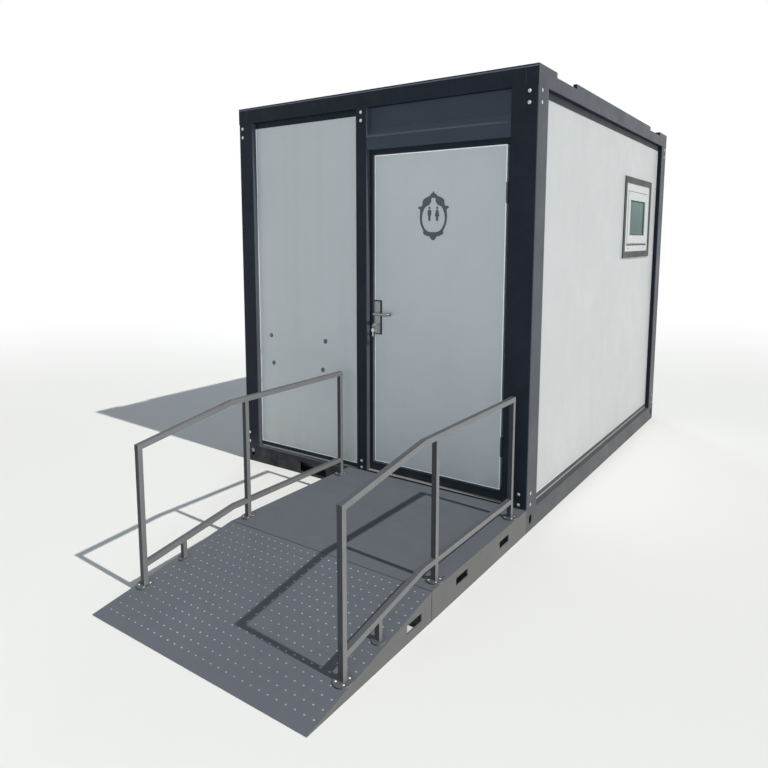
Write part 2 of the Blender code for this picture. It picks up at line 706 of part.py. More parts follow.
def door_frame():
    left, right = DOOR_OPENING_LEFT, DOOR_OPENING_RIGHT
    low, high = WALL_LOW, HEADER_BOTTOM - SEAT_GAP
    back_start = DOOR_LIP_DEPTH + SEAT_GAP
    frame = box("door_frame", (left, back_start, low), (right, FRAME_DEPTH, high), FRAME_PAINT)
    cut_boxes(frame, "door_frame_opening", [((left + FRAME_JAMB, back_start - PAST, low + FRAME_SILL),
              (right - FRAME_HINGE_JAMB, FRAME_DEPTH + PAST, high - FRAME_HEAD))])
    front_right = POST_INNER - DOOR_LIP_WIDTH - SEAT_GAP
    back = back_start + BITE
    add(frame, box("door_frame_nose", (left, 0, low), (front_right, back, low + SILL_NOSE_HEIGHT)))
    cut_boxes(frame, "door_frame_keeps", [bolt_pocket(z, depth) for z, depth in
                                          ((LEVER_Z, LATCH_REACH), (THUMB_Z, DEAD_BOLT_STROKE))])
    return frame


def bolt_space(z, clearance):
    # Cross-section of a bolt in the leaf: (low y, high y, low z, high z).
    middle = DOOR_RECESS + DOOR_THICKNESS / 2
    half_y, half_z = BOLT_THICKNESS / 2 + clearance, BOLT_HEIGHT / 2 + clearance
    return middle - half_y, middle + half_y, z - half_z, z + half_z


def bolt_pocket(z, reach):
    y0, y1, z0, z1 = bolt_space(z, KEEP_FIT)
    edge = DOOR_OPENING_LEFT + FRAME_JAMB
    return ((DOOR_LEFT - reach - KEEP_SPARE, y0, z0), (edge + FINE_PAST, y1, z1))


def door_leaf():
    leaf = box("door_leaf", (DOOR_LEFT, DOOR_RECESS, DOOR_LOW), (DOOR_RIGHT, DOOR_BACK, DOOR_HIGH),
               WALL_PAINT)
    bores = []
    for z in (LEVER_Z, THUMB_Z):
        y0, y1, z0, z1 = bolt_space(z, BOLT_FIT)
        bores.append(((DOOR_LEFT - FINE_PAST, y0, z0), (LOCK_X - SPINDLE_RADIUS - KEEP_FIT, y1, z1)))
    cut_boxes(leaf, "bolt_bores", bores)
    bm = bmesh.new()
    for z in (LEVER_Z, THUMB_Z):
        add_prism(bm, circle(LOCK_X, z, SPINDLE_RADIUS + SPINDLE_FIT, 16), "y",
                  DOOR_RECESS - FINE_PAST, DOOR_BACK + FINE_PAST)
    change(leaf, new_object("spindle_bores", bm, None))
    return pivot(leaf, (HINGE_X, HINGE_Y, DOOR_LOW))


def hinge(label, z):
    # Three knuckles on one pin: the frame half holds the pin and the outer knuckles.
    third = HINGE_LENGTH / 3
    low, high = z - HINGE_LENGTH / 2, z + HINGE_LENGTH / 2
    bore = HINGE_PIN_RADIUS + HINGE_RUNNING_FIT
    frame_face = DOOR_OPENING_RIGHT - FRAME_HINGE_JAMB - SEAT_GAP
    half = box(f"hinge_frame_{label}", (frame_face - HINGE_LEAF, HINGE_Y, low),
               (frame_face, HINGE_Y + HINGE_LEAF_REACH, high), STEEL)
    add(half, box(f"hinge_frame_{label}_arm", (HINGE_X, HINGE_Y, low),
                  (frame_face - HINGE_LEAF / 2, HINGE_Y + HINGE_LEAF, high)))
    bm = bmesh.new()
    add_prism(bm, circle(HINGE_X, HINGE_Y, HINGE_KNUCKLE_RADIUS), "z", low, low + third - SEAT_GAP)
    add_prism(bm, circle(HINGE_X, HINGE_Y, HINGE_KNUCKLE_RADIUS), "z", high - third + SEAT_GAP, high)
    add(half, new_object(f"hinge_frame_{label}_knuckles", bm, None))
    clear = HINGE_KNUCKLE_RADIUS + HINGE_KNUCKLE_CLEAR
    change(half, prism(f"hinge_frame_{label}_gap", circle(HINGE_X, HINGE_Y, clear), "z",
                       low + third - SEAT_GAP, high - third + SEAT_GAP))
    add(half, prism(f"hinge_frame_{label}_pin", circle(HINGE_X, HINGE_Y, HINGE_PIN_RADIUS), "z",
                    low + BITE, high - BITE))
    door_face = DOOR_RIGHT + SEAT_GAP
    swing = box(f"hinge_door_{label}", (door_face, HINGE_Y, low + third), (door_face + HINGE_LEAF,
                HINGE_Y + HINGE_LEAF_REACH, high - third), STEEL)
    add(swing, prism(f"hinge_door_{label}_knuckle", circle(HINGE_X, HINGE_Y, HINGE_KNUCKLE_RADIUS), "z",
                     low + third, high - third))
    change(swing, prism(f"hinge_door_{label}_bore", circle(HINGE_X, HINGE_Y, bore), "z",
                        low + third - FINE_PAST, high - third + FINE_PAST))
    pivot(swing, (HINGE_X, HINGE_Y, z))


def lock_plate(name, face, out):
    # out is -1 on the outer face of the leaf and +1 on the inner face.
    start = face + out * SEAT_GAP
    end = start + out * LOCK_PLATE_THICKNESS
    half = LOCK_PLATE_WIDTH / 2
    outline = rounded(LOCK_X - half, LOCK_PLATE_LOW, LOCK_X + half, LOCK_PLATE_HIGH, 0.008)
    plate = prism(name, outline, "y", min(start, end), max(start, end), STEEL, None, True)
    bm = bmesh.new()
    for z in (LEVER_Z, THUMB_Z):
        add_prism(bm, circle(LOCK_X, z, SPINDLE_RADIUS + SPINDLE_FIT, 16), "y",
                  min(start, end) - FINE_PAST, max(start, end) + FINE_PAST)
    change(plate, new_object(f"{name}_bores", bm, None))
    return pivot(plate, (HINGE_X, HINGE_Y, LOCK_PLATE_LOW))


def lever(name, face, out):
    # Round neck on the spindle and an arm towards the hinge side, with a turned-in tip.
    plate = face + out * (SEAT_GAP + LOCK_PLATE_THICKNESS)
    arm_y = plate + out * LEVER_STANDOFF
    neck = (LOCK_X, plate + out * SEAT_GAP, LEVER_Z)
    corner = (LOCK_X, arm_y, LEVER_Z)
    tip_corner = (LOCK_X + LEVER_LENGTH, arm_y, LEVER_Z)
    tip = (LOCK_X + LEVER_LENGTH, arm_y - out * LEVER_RETURN, LEVER_Z)
    path = [neck] + bent(neck, corner, tip_corner, LEVER_BEND)
    path += bent(corner, tip_corner, tip, LEVER_BEND) + [tip]
    handle = tube(name, path, LEVER_RADIUS, STEEL, 14)
    if out > 0:
        middle = DOOR_RECESS - LOCK_PLATE_THICKNESS
        add(handle, prism(f"{name}_spindle", circle(LOCK_X, LEVER_Z, SPINDLE_RADIUS, 16), "y",
                          middle, plate + BITE))
    return pivot(handle, (LOCK_X, DOOR_RECESS, LEVER_Z))


def thumb_turn():
    # Privacy turn inside, with its tail through the leaf to the outer cylinder.
    plate = DOOR_BACK + SEAT_GAP + LOCK_PLATE_THICKNESS
    crown = TURN_RADIUS - 0.003
    profile = [(TURN_RADIUS, SEAT_GAP), (TURN_RADIUS, 0.006), (crown, 0.009), (crown, 0.012)]
    knob = turned("thumb_turn", profile, (LOCK_X, plate, THUMB_Z), "y", STEEL, 20)
    half_w, half_h = TURN_GRIP_THICKNESS / 2, TURN_GRIP_HEIGHT / 2
    grip = rounded(LOCK_X - half_w, THUMB_Z - half_h, LOCK_X + half_w, THUMB_Z + half_h, 0.003)
    add(knob, prism("thumb_turn_grip", grip, "y", plate + 0.010, plate + TURN_GRIP_REACH))
    add(knob, prism("thumb_turn_tail", circle(LOCK_X, THUMB_Z, SPINDLE_RADIUS, 16), "y",
                    DOOR_RECESS - LOCK_PLATE_THICKNESS - 2 * BITE, plate + 2 * BITE))
    return pivot(knob, (LOCK_X, DOOR_RECESS, THUMB_Z))


def bolt(name, z, tip):
    y0, y1, z0, z1 = bolt_space(z, 0)
    end = tip + BOLT_LENGTH
    if name == "latch_bolt":
        nose = tip + LATCH_REACH * 0.8
        outline = [(tip, y1), (tip, y1 - 0.004), (nose, y0), (end, y0), (end, y1)]
        return pivot(prism(name, outline, "z", z0, z1, STEEL), (tip, y0, z))
    return pivot(box(name, (tip, y0, z0), (end, y1, z1), STEEL), (tip, y0, z))


# Window

def window_box(inset, low_x, high_x):
    half_w, half_h = WINDOW_WIDTH / 2 - inset, WINDOW_HEIGHT / 2 - inset
    return (low_x, WINDOW_Y - half_w, WINDOW_Z - half_h), (high_x, WINDOW_Y + half_w, WINDOW_Z + half_h)


def window():
    frame_out = WALL_OUTER + WINDOW_FRAME_PROUD
    frame_in = frame_out - WINDOW_FRAME_DEPTH
    trim_box = window_box(-WINDOW_TRIM_FACE, WALL_OUTER + SEAT_GAP, WALL_OUTER + WINDOW_TRIM_PROUD)
    trim = box("window_trim", *trim_box, FRAME_PAINT)
    trim_hole = window_box(-SEAT_GAP, WALL_OUTER - PAST, WALL_OUTER + WINDOW_TRIM_PROUD + PAST)
    cut_boxes(trim, "window_trim_hole", [trim_hole])
    frame = box("window_frame", *window_box(0, frame_in, frame_out), WHITE_PLASTIC)
    stop = WINDOW_FRAME_FACE + SASH_STOP
    rebate = window_box(WINDOW_FRAME_FACE, frame_out - SASH_DEPTH - FINE_PAST, frame_out + PAST)
    cut_boxes(frame, "window_frame_rebate", [rebate])
    cut_boxes(frame, "window_frame_light", [window_box(stop, frame_in - PAST, frame_out - SASH_DEPTH)])
    sash_edge = WINDOW_FRAME_FACE + SASH_CLEARANCE
    sash_out = frame_out + SASH_PROUD
    sash_in = frame_out - SASH_DEPTH
    hinge_point = (sash_out, WINDOW_Y, WINDOW_Z + WINDOW_HEIGHT / 2 - sash_edge)
    sash = box("window_sash", *window_box(sash_edge, sash_in, sash_out), WHITE_PLASTIC)
    light = sash_edge + SASH_FACE
    cut_boxes(sash, "window_sash_light", [window_box(light, sash_in - PAST, sash_out + PAST)])
    glass_out = sash_out - GLASS_SETBACK
    groove = light - GLASS_BITE
    cut_boxes(sash, "window_sash_groove", [window_box(groove, glass_out - GLASS_THICKNESS, glass_out)])
    pane = window_box(groove + SEAT_GAP, glass_out - GLASS_THICKNESS + SEAT_GAP, glass_out - SEAT_GAP)
    glass = box("window_glass", *pane, ((0.10, 0.22, 0.20), 0.05, 0.0, 0.5))
    pivot(sash, hinge_point)
    pivot(glass, hinge_point)
    window_handle(sash_in, WINDOW_Z - WINDOW_HEIGHT / 2 + sash_edge + SASH_FACE / 2)


def window_handle(face, z):
    # A handle on a round rose, which points sideways when shut and down when open.
    neck = (face - SEAT_GAP, WINDOW_Y, z)
    corner = (face - HANDLE_STANDOFF, WINDOW_Y, z)
    tip = (face - HANDLE_STANDOFF, WINDOW_Y - HANDLE_LENGTH, z)
    path = [neck] + bent(neck, corner, tip, HANDLE_BEND) + [tip]
    handle = tube("window_handle", path, HANDLE_RADIUS, WHITE_PLASTIC, 12)
    add(handle, prism("window_handle_rose", circle(WINDOW_Y, z, HANDLE_ROSE), "x",
                      face - HANDLE_ROSE_THICKNESS, face - SEAT_GAP))
    pivot(handle, neck)


# Landing, ramp and handrails

def ramp_height(y):
    run = -LANDING_DEPTH - y
    if run <= 0:
        return LANDING_TOP
    return LANDING_TOP - (LANDING_TOP - RAMP_LIP) * run / RAMP_RUN


def side_slots(target, name, places):
    boxes = []
    half_l, half_h = SLOT_LENGTH / 2, SLOT_HEIGHT / 2
    for x0, x1 in ((DECK_LEFT - PAST, DECK_LEFT + 2 * PAST), (DECK_RIGHT - 2 * PAST, DECK_RIGHT + PAST)):
        for y, z in places:
            boxes.append(((x0, y - half_l, z - half_h), (x1, y + half_l, z + half_h)))
    return cut_boxes(target, name, boxes)


def landing_deck():
    rear = -SEAT_GAP
    deck = box("landing_deck", (DECK_LEFT, -LANDING_DEPTH, 0), (DECK_RIGHT, rear, LANDING_TOP), DECK_PAINT)
    cut_boxes(deck, "landing_hollow", [((DECK_LEFT + DECK_SKIRT, -LANDING_DEPTH + DECK_SKIRT, -PAST),
              (DECK_RIGHT - DECK_SKIRT, rear + PAST, LANDING_TOP - DECK_PLATE))])
    return side_slots(deck, "landing_slots", LANDING_SLOTS)


def ramp_deck():
    outline = [(RAMP_START, 0), (RAMP_START, ramp_height(RAMP_START)), (RAMP_TOE, RAMP_LIP), (RAMP_TOE, 0)]
    deck = prism("ramp_deck", outline, "x", DECK_LEFT, DECK_RIGHT, DECK_PAINT)
    start = RAMP_START - DECK_SKIRT
    slope = (LANDING_TOP - RAMP_LIP) / RAMP_RUN
    drop = DECK_PLATE * hypot(1, slope)
    top = ramp_height(start) - drop
    cavity = [(start, -PAST), (start, top), (start - (top + PAST) / slope, -PAST)]
    change(deck, prism("ramp_hollow", cavity, "x", DECK_LEFT + DECK_SKIRT, DECK_RIGHT - DECK_SKIRT))
    return side_slots(deck, "ramp_slots", [RAMP_SLOT])


def rail_line(height, clearance=0.0):
    # Centre line of a rail: level over the landing, then parallel to the ramp.
    front = RAIL_POSTS[2]
    level = LANDING_TOP + height
    slope = (LANDING_TOP - RAMP_LIP) / RAMP_RUN
    return [(RAIL_POSTS[0] + clearance, level), (RAIL_BEND_Y, level),
            (front - clearance, level - (RAIL_BEND_Y - front) * slope)]


def rail_bar(line):
    # Outline of a flat bar of the tube's height along a bent line.
    half = RAIL_TUBE / 2
    (y0, z0), (y1, z1), (y2, z2) = line
    slope = (z2 - z1) / (y2 - y1)
    shift = half * hypot(1, slope)
    knee = (shift - half) / slope if slope else 0
    return [(y0, z0 + half), (y1 + knee, z1 + half), (y2, z2 + shift),
            (y2, z2 - shift), (y1 - knee, z1 - half), (y0, z0 - half)]


def handrail(name, x):
    half = RAIL_TUBE / 2
    top_line = rail_line(TOP_RAIL_HEIGHT, half)
    low_line = rail_line(LOW_RAIL_HEIGHT)
    rail = prism(name, rail_bar(top_line), "x", x - half, x + half, RAIL_PAINT)
    inner = half - SEAT_GAP
    add(rail, prism(f"{name}_low_bar", rail_bar(low_line), "x", x - inner, x + inner))
    slope = (LANDING_TOP - RAMP_LIP) / RAMP_RUN
    for i, y in enumerate(RAIL_POSTS):
        deck = ramp_height(y) + SEAT_GAP
        level = top_line[0][1] if y > RAIL_BEND_Y else top_line[2][1] + half * slope
        post = half - 2 * SEAT_GAP
        foot_low = deck + FOOT_THICKNESS / 2
        add(rail, box(f"{name}_post_{i}", (x - post, y - post, foot_low), (x + post, y + post, level)))
        add(rail, foot(f"{name}_foot_{i}", x, y, deck))
    stub_low = ramp_height(STUB_Y) + SEAT_GAP + FOOT_THICKNESS / 2
    stub_top = rail_line(LOW_RAIL_HEIGHT)[1][1] - (RAIL_BEND_Y - STUB_Y) * slope
    thin = half - STUB_THINNER
    add(rail, box(f"{name}_stub", (x - thin, STUB_Y - thin, stub_low), (x + thin, STUB_Y + thin, stub_top)))
    add(rail, foot(f"{name}_stub_foot", x, STUB_Y, ramp_height(STUB_Y) + SEAT_GAP, STUB_FOOT_RADIUS))
    return rail


def foot(name, x, y, deck, radius=FOOT_RADIUS):
    # Round flange that lies on the deck, level or at the ramp's slope.
    slope = 0 if y > -LANDING_DEPTH else (LANDING_TOP - RAMP_LIP) / RAMP_RUN
    low = [(x + u, y + v, deck + slope * v) for u, v in circle(0, 0, radius, 20)]
    high = [(px, py, pz + FOOT_THICKNESS) for px, py, pz in low]
    return loft(name, [low, high], None, False)


# Toilet

def egg(width, front, back, z, points=24):
    # A toilet's plan outline at one height: round front, squarer back, centred on the pan's line.
    middle = back - (back - front) * 0.42
    ring = []
    for i in range(points):
        angle = 2 * pi * i / points
        c, s = cos(angle), sin(angle)
        if s < 0:
            y = middle + (middle - front) * s
            x = c * width / 2
        else:
            y = middle + (back - middle) * copysign(abs(s) ** 0.6, s)
            x = width / 2 * copysign(abs(c) ** 0.75, c)
        ring.append((PAN_X + x, y, z))
    return ring


def toilet_pan():
    low, top = FLOOR_TOP + SEAT_GAP, PAN_TOP
    front, back = PAN_FRONT, PAN_FRONT + SEAT_LENGTH + 0.055
    outer = [(0.24, 0.13, -0.02, 0.0), (0.23, 0.13, -0.02, 0.12), (0.26, 0.08, -0.01, 0.24),
             (0.34, 0.02, 0.0, 0.33), (PAN_WIDTH, 0.0, 0.0, 0.375), (PAN_WIDTH, 0.0, 0.0, 0.395)]
    rings = [egg(width, front + inset, back + tail, low + rise) for width, inset, tail, rise in outer]
    rings.append(egg(PAN_WIDTH - 0.01, front + 0.005, back - 0.005, top))
    inner = [(PAN_WIDTH - 0.09, 0.045, 0.0), (PAN_WIDTH - 0.10, 0.050, -0.02),
             (PAN_WIDTH - 0.13, 0.07, -0.10), (0.17, 0.12, -0.17), (0.10, 0.18, -BOWL_DEPTH)]
    for width, inset, drop in inner:
        rings.append(egg(width, front + inset, back - 0.075 - inset * 0.7, top + drop))
    pan = loft("toilet_pan", rings, CERAMIC)
    shelf_half = PAN_WIDTH / 2 - 0.03
    outline = rounded(PAN_X - shelf_half, back - 0.05, PAN_X + shelf_half, ROOM_REAR - SEAT_GAP, 0.02)
    add(pan, prism("toilet_pan_shelf", outline, "z", low + 0.16, top - 0.001))
    return pan


def seat_pin(name, radius, low_x, high_x):
    return prism(name, circle(SEAT_AXIS_Y, SEAT_AXIS_Z, radius, 16), "x", low_x, high_x)


def toilet_seat():
    front, back, edge = PAN_FRONT - SEAT_LIP, SEAT_BACK, SEAT_EDGE
    low = PAN_TOP + SEAT_GAP
    high = low + SEAT_THICKNESS
    rings = [egg(0.24, front + 0.075, back - 0.085, low), egg(PAN_WIDTH - 0.004, front + 0.004, back, low),
             egg(PAN_WIDTH + 0.004, front, back, low + edge),
             egg(PAN_WIDTH, front + 0.002, back, high - edge),
             egg(PAN_WIDTH - 0.024, front + 0.012, back - 0.004, high),
             egg(0.25, front + 0.067, back - 0.080, high),
             egg(0.235, front + 0.078, back - 0.088, high - edge)]
    bm = bmesh.new()
    rows = [[bm.verts.new(p) for p in ring] for ring in rings]
    for i in range(len(rows)):
        low_row, high_row = rows[i], rows[(i + 1) % len(rows)]
        for k in range(len(low_row)):
            j = (k + 1) % len(low_row)
            bm.faces.new((low_row[k], low_row[j], high_row[j], high_row[k]))
    seat = new_object("toilet_seat", bm, WHITE_PLASTIC, True)
    for side in (-1, 1):
        x0, x1 = sorted((PAN_X + side * SEAT_LUG_X, PAN_X + side * (SEAT_LUG_X + SEAT_LUG_WIDTH)))
        add(seat, box(f"seat_lug_{side}", (x0, back - 0.035, low + edge), (x1, SEAT_AXIS_Y, high - BITE)))
        add(seat, box(f"seat_ear_{side}", (x0 + SEAT_GAP, back + 0.005, low + 0.008),
                      (x1 - SEAT_GAP, SEAT_AXIS_Y, SEAT_AXIS_Z)))
        add(seat, seat_pin(f"seat_knuckle_{side}", SEAT_PIN_RADIUS + SEAT_KNUCKLE_WALL, x0, x1))
        change(seat, seat_pin(f"seat_bore_{side}", SEAT_PIN_RADIUS + SEAT_PIN_FIT,
                              x0 - FINE_PAST, x1 + FINE_PAST))
    return pivot(seat, (PAN_X, SEAT_AXIS_Y, SEAT_AXIS_Z))


def toilet_lid():
    # Modelled shut, then turned back to its rest against the cistern.
    front, back = PAN_FRONT - SEAT_LIP, SEAT_BACK
    low = PAN_TOP + SEAT_GAP + SEAT_THICKNESS + LID_GAP
    high = low + LID_THICKNESS
    rings = [egg(PAN_WIDTH - 0.004, front + 0.006, back, low),
             egg(PAN_WIDTH + 0.004, front, back, low + 0.006),
             egg(PAN_WIDTH - 0.006, front + 0.005, back - 0.002, high - 0.004),
             egg(PAN_WIDTH - 0.06, front + 0.035, back - 0.02, high)]
    lid = loft("toilet_lid", rings, WHITE_PLASTIC)
    for side in (-1, 1):
        x0, x1 = sorted((PAN_X + side * LID_LUG_X, PAN_X + side * (LID_LUG_X + LID_LUG_WIDTH)))
        add(lid, box(f"lid_lug_{side}", (x0, back - 0.030, low + BITE), (x1, SEAT_AXIS_Y, high - 0.005)))
        add(lid, seat_pin(f"lid_knuckle_{side}", SEAT_PIN_RADIUS + SEAT_KNUCKLE_WALL, x0, x1))
        change(lid, seat_pin(f"lid_bore_{side}", SEAT_PIN_RADIUS + SEAT_PIN_FIT,
                             x0 - FINE_PAST, x1 + FINE_PAST))
    tools = [modifier.object for modifier in lid.modifiers]
    for piece in [lid] + tools:
        pivot(piece, (PAN_X, SEAT_AXIS_Y, SEAT_AXIS_Z))
        piece.rotation_euler = (-LID_OPEN, 0, 0)
    return lid


def seat_hinge_pin():
    # Cross pin on two posts that stand on the pan behind the seat.
    reach = HINGE_POST_X + HINGE_POST_WIDTH - BITE
    pin = seat_pin("seat_hinge", SEAT_PIN_RADIUS, PAN_X - reach, PAN_X + reach)
    pin.data.materials.append(finish("seat_hinge", *CHROME))
    for side in (-1, 1):
        x0, x1 = sorted((PAN_X + side * HINGE_POST_X, PAN_X + side * (HINGE_POST_X + HINGE_POST_WIDTH)))
        add(pin, box(f"seat_hinge_post_{side}",
                     (x0, SEAT_AXIS_Y - HINGE_POST_HALF_DEPTH, PAN_TOP + SEAT_GAP),
                     (x1, SEAT_AXIS_Y + HINGE_POST_HALF_DEPTH, SEAT_AXIS_Z + SEAT_PIN_RADIUS + BITE)))
    return pin


def cistern():
    half = CISTERN_WIDTH / 2
    low = PAN_TOP + SEAT_GAP
    top = low + CISTERN_HEIGHT
    rear = ROOM_REAR - SEAT_GAP
    lid_low = top - CISTERN_LID
    tank = [(half - 0.02, CISTERN_FRONT + 0.014, low), (half - 0.01, CISTERN_FRONT + 0.006, low + 0.1),
            (half - 0.006, CISTERN_FRONT + 0.004, lid_low), (half, CISTERN_FRONT, lid_low + 0.001),
            (half, CISTERN_FRONT, top - 0.008), (half - 0.008, CISTERN_FRONT + 0.008, top)]
    rings = []
    for w, front, z in tank:
        rings.append([(u, v, z) for u, v in rounded(PAN_X - w, front, PAN_X + w, rear, 0.022)])
    body = loft("cistern", rings, CERAMIC)
    centre_y = CISTERN_FRONT + CISTERN_DEPTH / 2
    well = circle(PAN_X, centre_y, BUTTON_RADIUS + BUTTON_FIT)
    change(body, prism("flush_well", well, "z", top - BUTTON_SINK - BUTTON_STROKE - FINE_PAST, top + PAST))
    profile = [(BUTTON_RADIUS, -BUTTON_SINK), (BUTTON_RADIUS, 0.001), (BUTTON_RADIUS - 0.004, 0.003)]
    button = turned("flush_button", profile, (PAN_X, centre_y, top), "z", CHROME)
    pivot(button, (PAN_X, centre_y, top))
    return body


# Wash basin

def basin_ring(half, front, back, z, points=28):
    middle = back - (back - front) * 0.45
    ring = []
    for i in range(points):
        angle = 2 * pi * i / points
        c, s = cos(angle), sin(angle)
        x = half * copysign(abs(c) ** 0.7, c)
        reach, power = (back - middle, 0.35) if s > 0 else (middle - front, 0.8)
        y = middle + reach * copysign(abs(s) ** power, s)
        ring.append((BASIN_X + x, y, z))
    return ring


def wash_basin():
    half = BASIN_WIDTH / 2
    wall, tip = BASIN_BACK, BASIN_BACK + BASIN_REACH
    # The rings are drawn towards -Y and mirrored, because the basin's back is at the front wall.
    outer = [(0.09, 0.14, 0.0), (0.19, 0.06, 0.055), (half - 0.025, 0.02, 0.125),
             (half, 0.0, 0.165), (half, 0.0, 0.185)]
    inner = [(half - BASIN_WALL, BASIN_WALL, 0.0), (half - 0.035, 0.035, -0.03),
             (half - 0.07, 0.06, -0.09), (0.08, 0.15, -0.135)]
    low = BASIN_RIM - BASIN_HEIGHT
    rings = [basin_ring(w, -(tip - inset), -wall, low + rise) for w, inset, rise in outer]
    rings.append(basin_ring(half - 0.005, -(tip - 0.005), -wall, BASIN_RIM))
    ledge = wall + 0.085
    for w, inset, drop in inner:
        rings.append(basin_ring(w, -(tip - inset), -(ledge + inset * 0.4), BASIN_RIM + drop))
    rings = [[(x, -y, z) for x, y, z in ring] for ring in rings]
    basin = loft("wash_basin", rings, CERAMIC)
    drain = (BASIN_X, wall + DRAIN_FROM_WALL, low)
    pipe = [(DRAIN_PIPE_RADIUS, -DRAIN_PIPE_DROP), (DRAIN_PIPE_RADIUS, 0.03)]
    bore = [(DRAIN_RADIUS, -DRAIN_PIPE_DROP - PAST), (DRAIN_RADIUS, BASIN_HEIGHT / 2)]
    add(basin, turned("basin_outlet", pipe, drain, "z"))
    change(basin, turned("basin_drain", bore, drain, "z"))
    return basin


def tap():
    base_y = BASIN_BACK + TAP_FROM_WALL
    base = (BASIN_X, base_y, BASIN_RIM + SEAT_GAP)
    body = turned("tap_body", [(TAP_RADIUS + 0.005, 0), (TAP_RADIUS + 0.005, 0.006), (TAP_RADIUS, 0.010),
                               (TAP_RADIUS, TAP_HEIGHT)], base, "z", CHROME)
    spout_z = base[2] + TAP_HEIGHT * 0.62
    start = (BASIN_X, base_y + TAP_RADIUS * 0.5, spout_z)
    knee = (BASIN_X, base_y + TAP_SPOUT, spout_z + 0.012)
    end = (BASIN_X, base_y + TAP_SPOUT, spout_z - 0.022)
    add(body, tube("tap_spout", [start] + bent(start, knee, end, 0.016) + [end], TAP_SPOUT_RADIUS))
    head = (BASIN_X, base_y, base[2] + TAP_HEIGHT + SEAT_GAP)
    profile = [(TAP_RADIUS, 0), (TAP_RADIUS, 0.016), (TAP_RADIUS - 0.006, 0.024)]
    cap = turned("tap_lever", profile, head, "z", CHROME)
    tip_y = base_y + TAP_LEVER_LENGTH
    blade = [(BASIN_X - 0.009, base_y), (BASIN_X + 0.009, base_y),
             (BASIN_X + 0.006, tip_y), (BASIN_X - 0.006, tip_y)]
    add(cap, prism("tap_blade", blade, "z", head[2] + 0.012, head[2] + 0.020))
    return pivot(cap, head)


# Grab rails, holder, mirror, light and switch

def grab_rail():
    wall = -ROOM_SIDE + SEAT_GAP
    z = FLOOR_TOP + GRAB_HEIGHT
    rear = ROOM_REAR - GRAB_FROM_REAR
    x = wall + GRAB_STANDOFF
    a, b, c, d = (wall, rear, z), (x, rear, z), (x, rear - GRAB_LENGTH, z), (wall, rear - GRAB_LENGTH, z)
    path = [a] + bent(a, b, c, GRAB_BEND) + bent(b, c, d, GRAB_BEND) + [d]
    rail = tube("grab_rail", path, GRAB_TUBE, STEEL, 14)
    for i, end in enumerate((a, d)):
        add(rail, prism(f"grab_flange_{i}", circle(end[1], end[2], GRAB_FLANGE, 20), "x",
                        wall, wall + GRAB_FLANGE_THICKNESS))
    return rail


def fold_rail():
    x = PAN_X + FOLD_RAIL_OFFSET
    z = FLOOR_TOP + FOLD_RAIL_HEIGHT
    rear = ROOM_REAR - SEAT_GAP
    half = FOLD_PLATE_WIDTH / 2
    plate_y = rear - FOLD_PLATE_THICKNESS
    axis_y = plate_y - FOLD_AXIS_FORWARD
    low = z - FOLD_PLATE_HEIGHT + FOLD_PLATE_ABOVE
    bracket = box("fold_rail_bracket", (x - half, plate_y, low),
                  (x + half, rear, low + FOLD_PLATE_HEIGHT), STEEL)
    gap = GRAB_TUBE + FOLD_SIDE_GAP
    ear_half = FOLD_EAR_HEIGHT / 2
    for side in (-1, 1):
        x0, x1 = sorted((x + side * gap, x + side * (gap + FOLD_EAR)))
        add(bracket, box(f"fold_ear_{side}", (x0, plate_y - FOLD_EAR_REACH, z - ear_half),
                         (x1, plate_y + BITE, z + ear_half)))
    reach = gap + FOLD_EAR + BITE
    add(bracket, prism("fold_pin", circle(axis_y, z, FOLD_PIN_RADIUS, 16), "x", x - reach, x + reach))
    # The lower stop carries the arm when it is down.
    stop_z = z - FOLD_RAIL_DROP
    top_start = (x, axis_y + FOLD_PIN_RADIUS + FOLD_SIDE_GAP, z)
    front = (x, axis_y - FOLD_RAIL_LENGTH, z)
    under = (x, axis_y - FOLD_RAIL_LENGTH, stop_z)
    low_end = (x, plate_y - SEAT_GAP, stop_z)
    path = [top_start] + bent(top_start, front, under, FOLD_BEND)
    path += bent(front, under, low_end, FOLD_BEND) + [low_end]
    arm = tube("fold_rail", path, GRAB_TUBE, STEEL, 14)
    bore = circle(axis_y, z, FOLD_PIN_RADIUS + FOLD_PIN_FIT, 16)
    change(arm, prism("fold_bore", bore, "x", x - GRAB_TUBE - PAST, x + GRAB_TUBE + PAST))
    return pivot(arm, (x, axis_y, z))


def paper_holder():
    wall = -ROOM_SIDE + SEAT_GAP
    z = FLOOR_TOP + HOLDER_HEIGHT
    x = wall + ROLL_RADIUS + HOLDER_BACK_GAP
    reach = ROLL_WIDTH / 2 + HOLDER_END_GAP
    rear, half = HOLDER_Y + reach, HOLDER_PLATE / 2
    plate = box("paper_holder", (wall, rear - half, z - half),
                (wall + HOLDER_PLATE_THICKNESS, rear + HOLDER_PLATE_PAST, z + half), STEEL)
    a, b, c = (wall + HOLDER_PLATE_THICKNESS / 2, rear, z), (x, rear, z), (x, HOLDER_Y - reach, z)
    add(plate, tube("holder_arm", [a] + bent(a, b, c, HOLDER_BEND) + [c], HOLDER_ROD, None, 12))
    ring = circle(x, z, ROLL_RADIUS, 28)
    roll = prism("paper_roll", ring, "y", HOLDER_Y - ROLL_WIDTH / 2, HOLDER_Y + ROLL_WIDTH / 2,
                 ((0.85, 0.84, 0.80), 0.9), circle(x, z, ROLL_CORE, 28), True)
    drop = ROLL_CORE - HOLDER_ROD - ROLL_REST_GAP
    roll.data.transform(Matrix.Translation((0, 0, -drop)))
    return pivot(roll, (x, HOLDER_Y, z - drop))


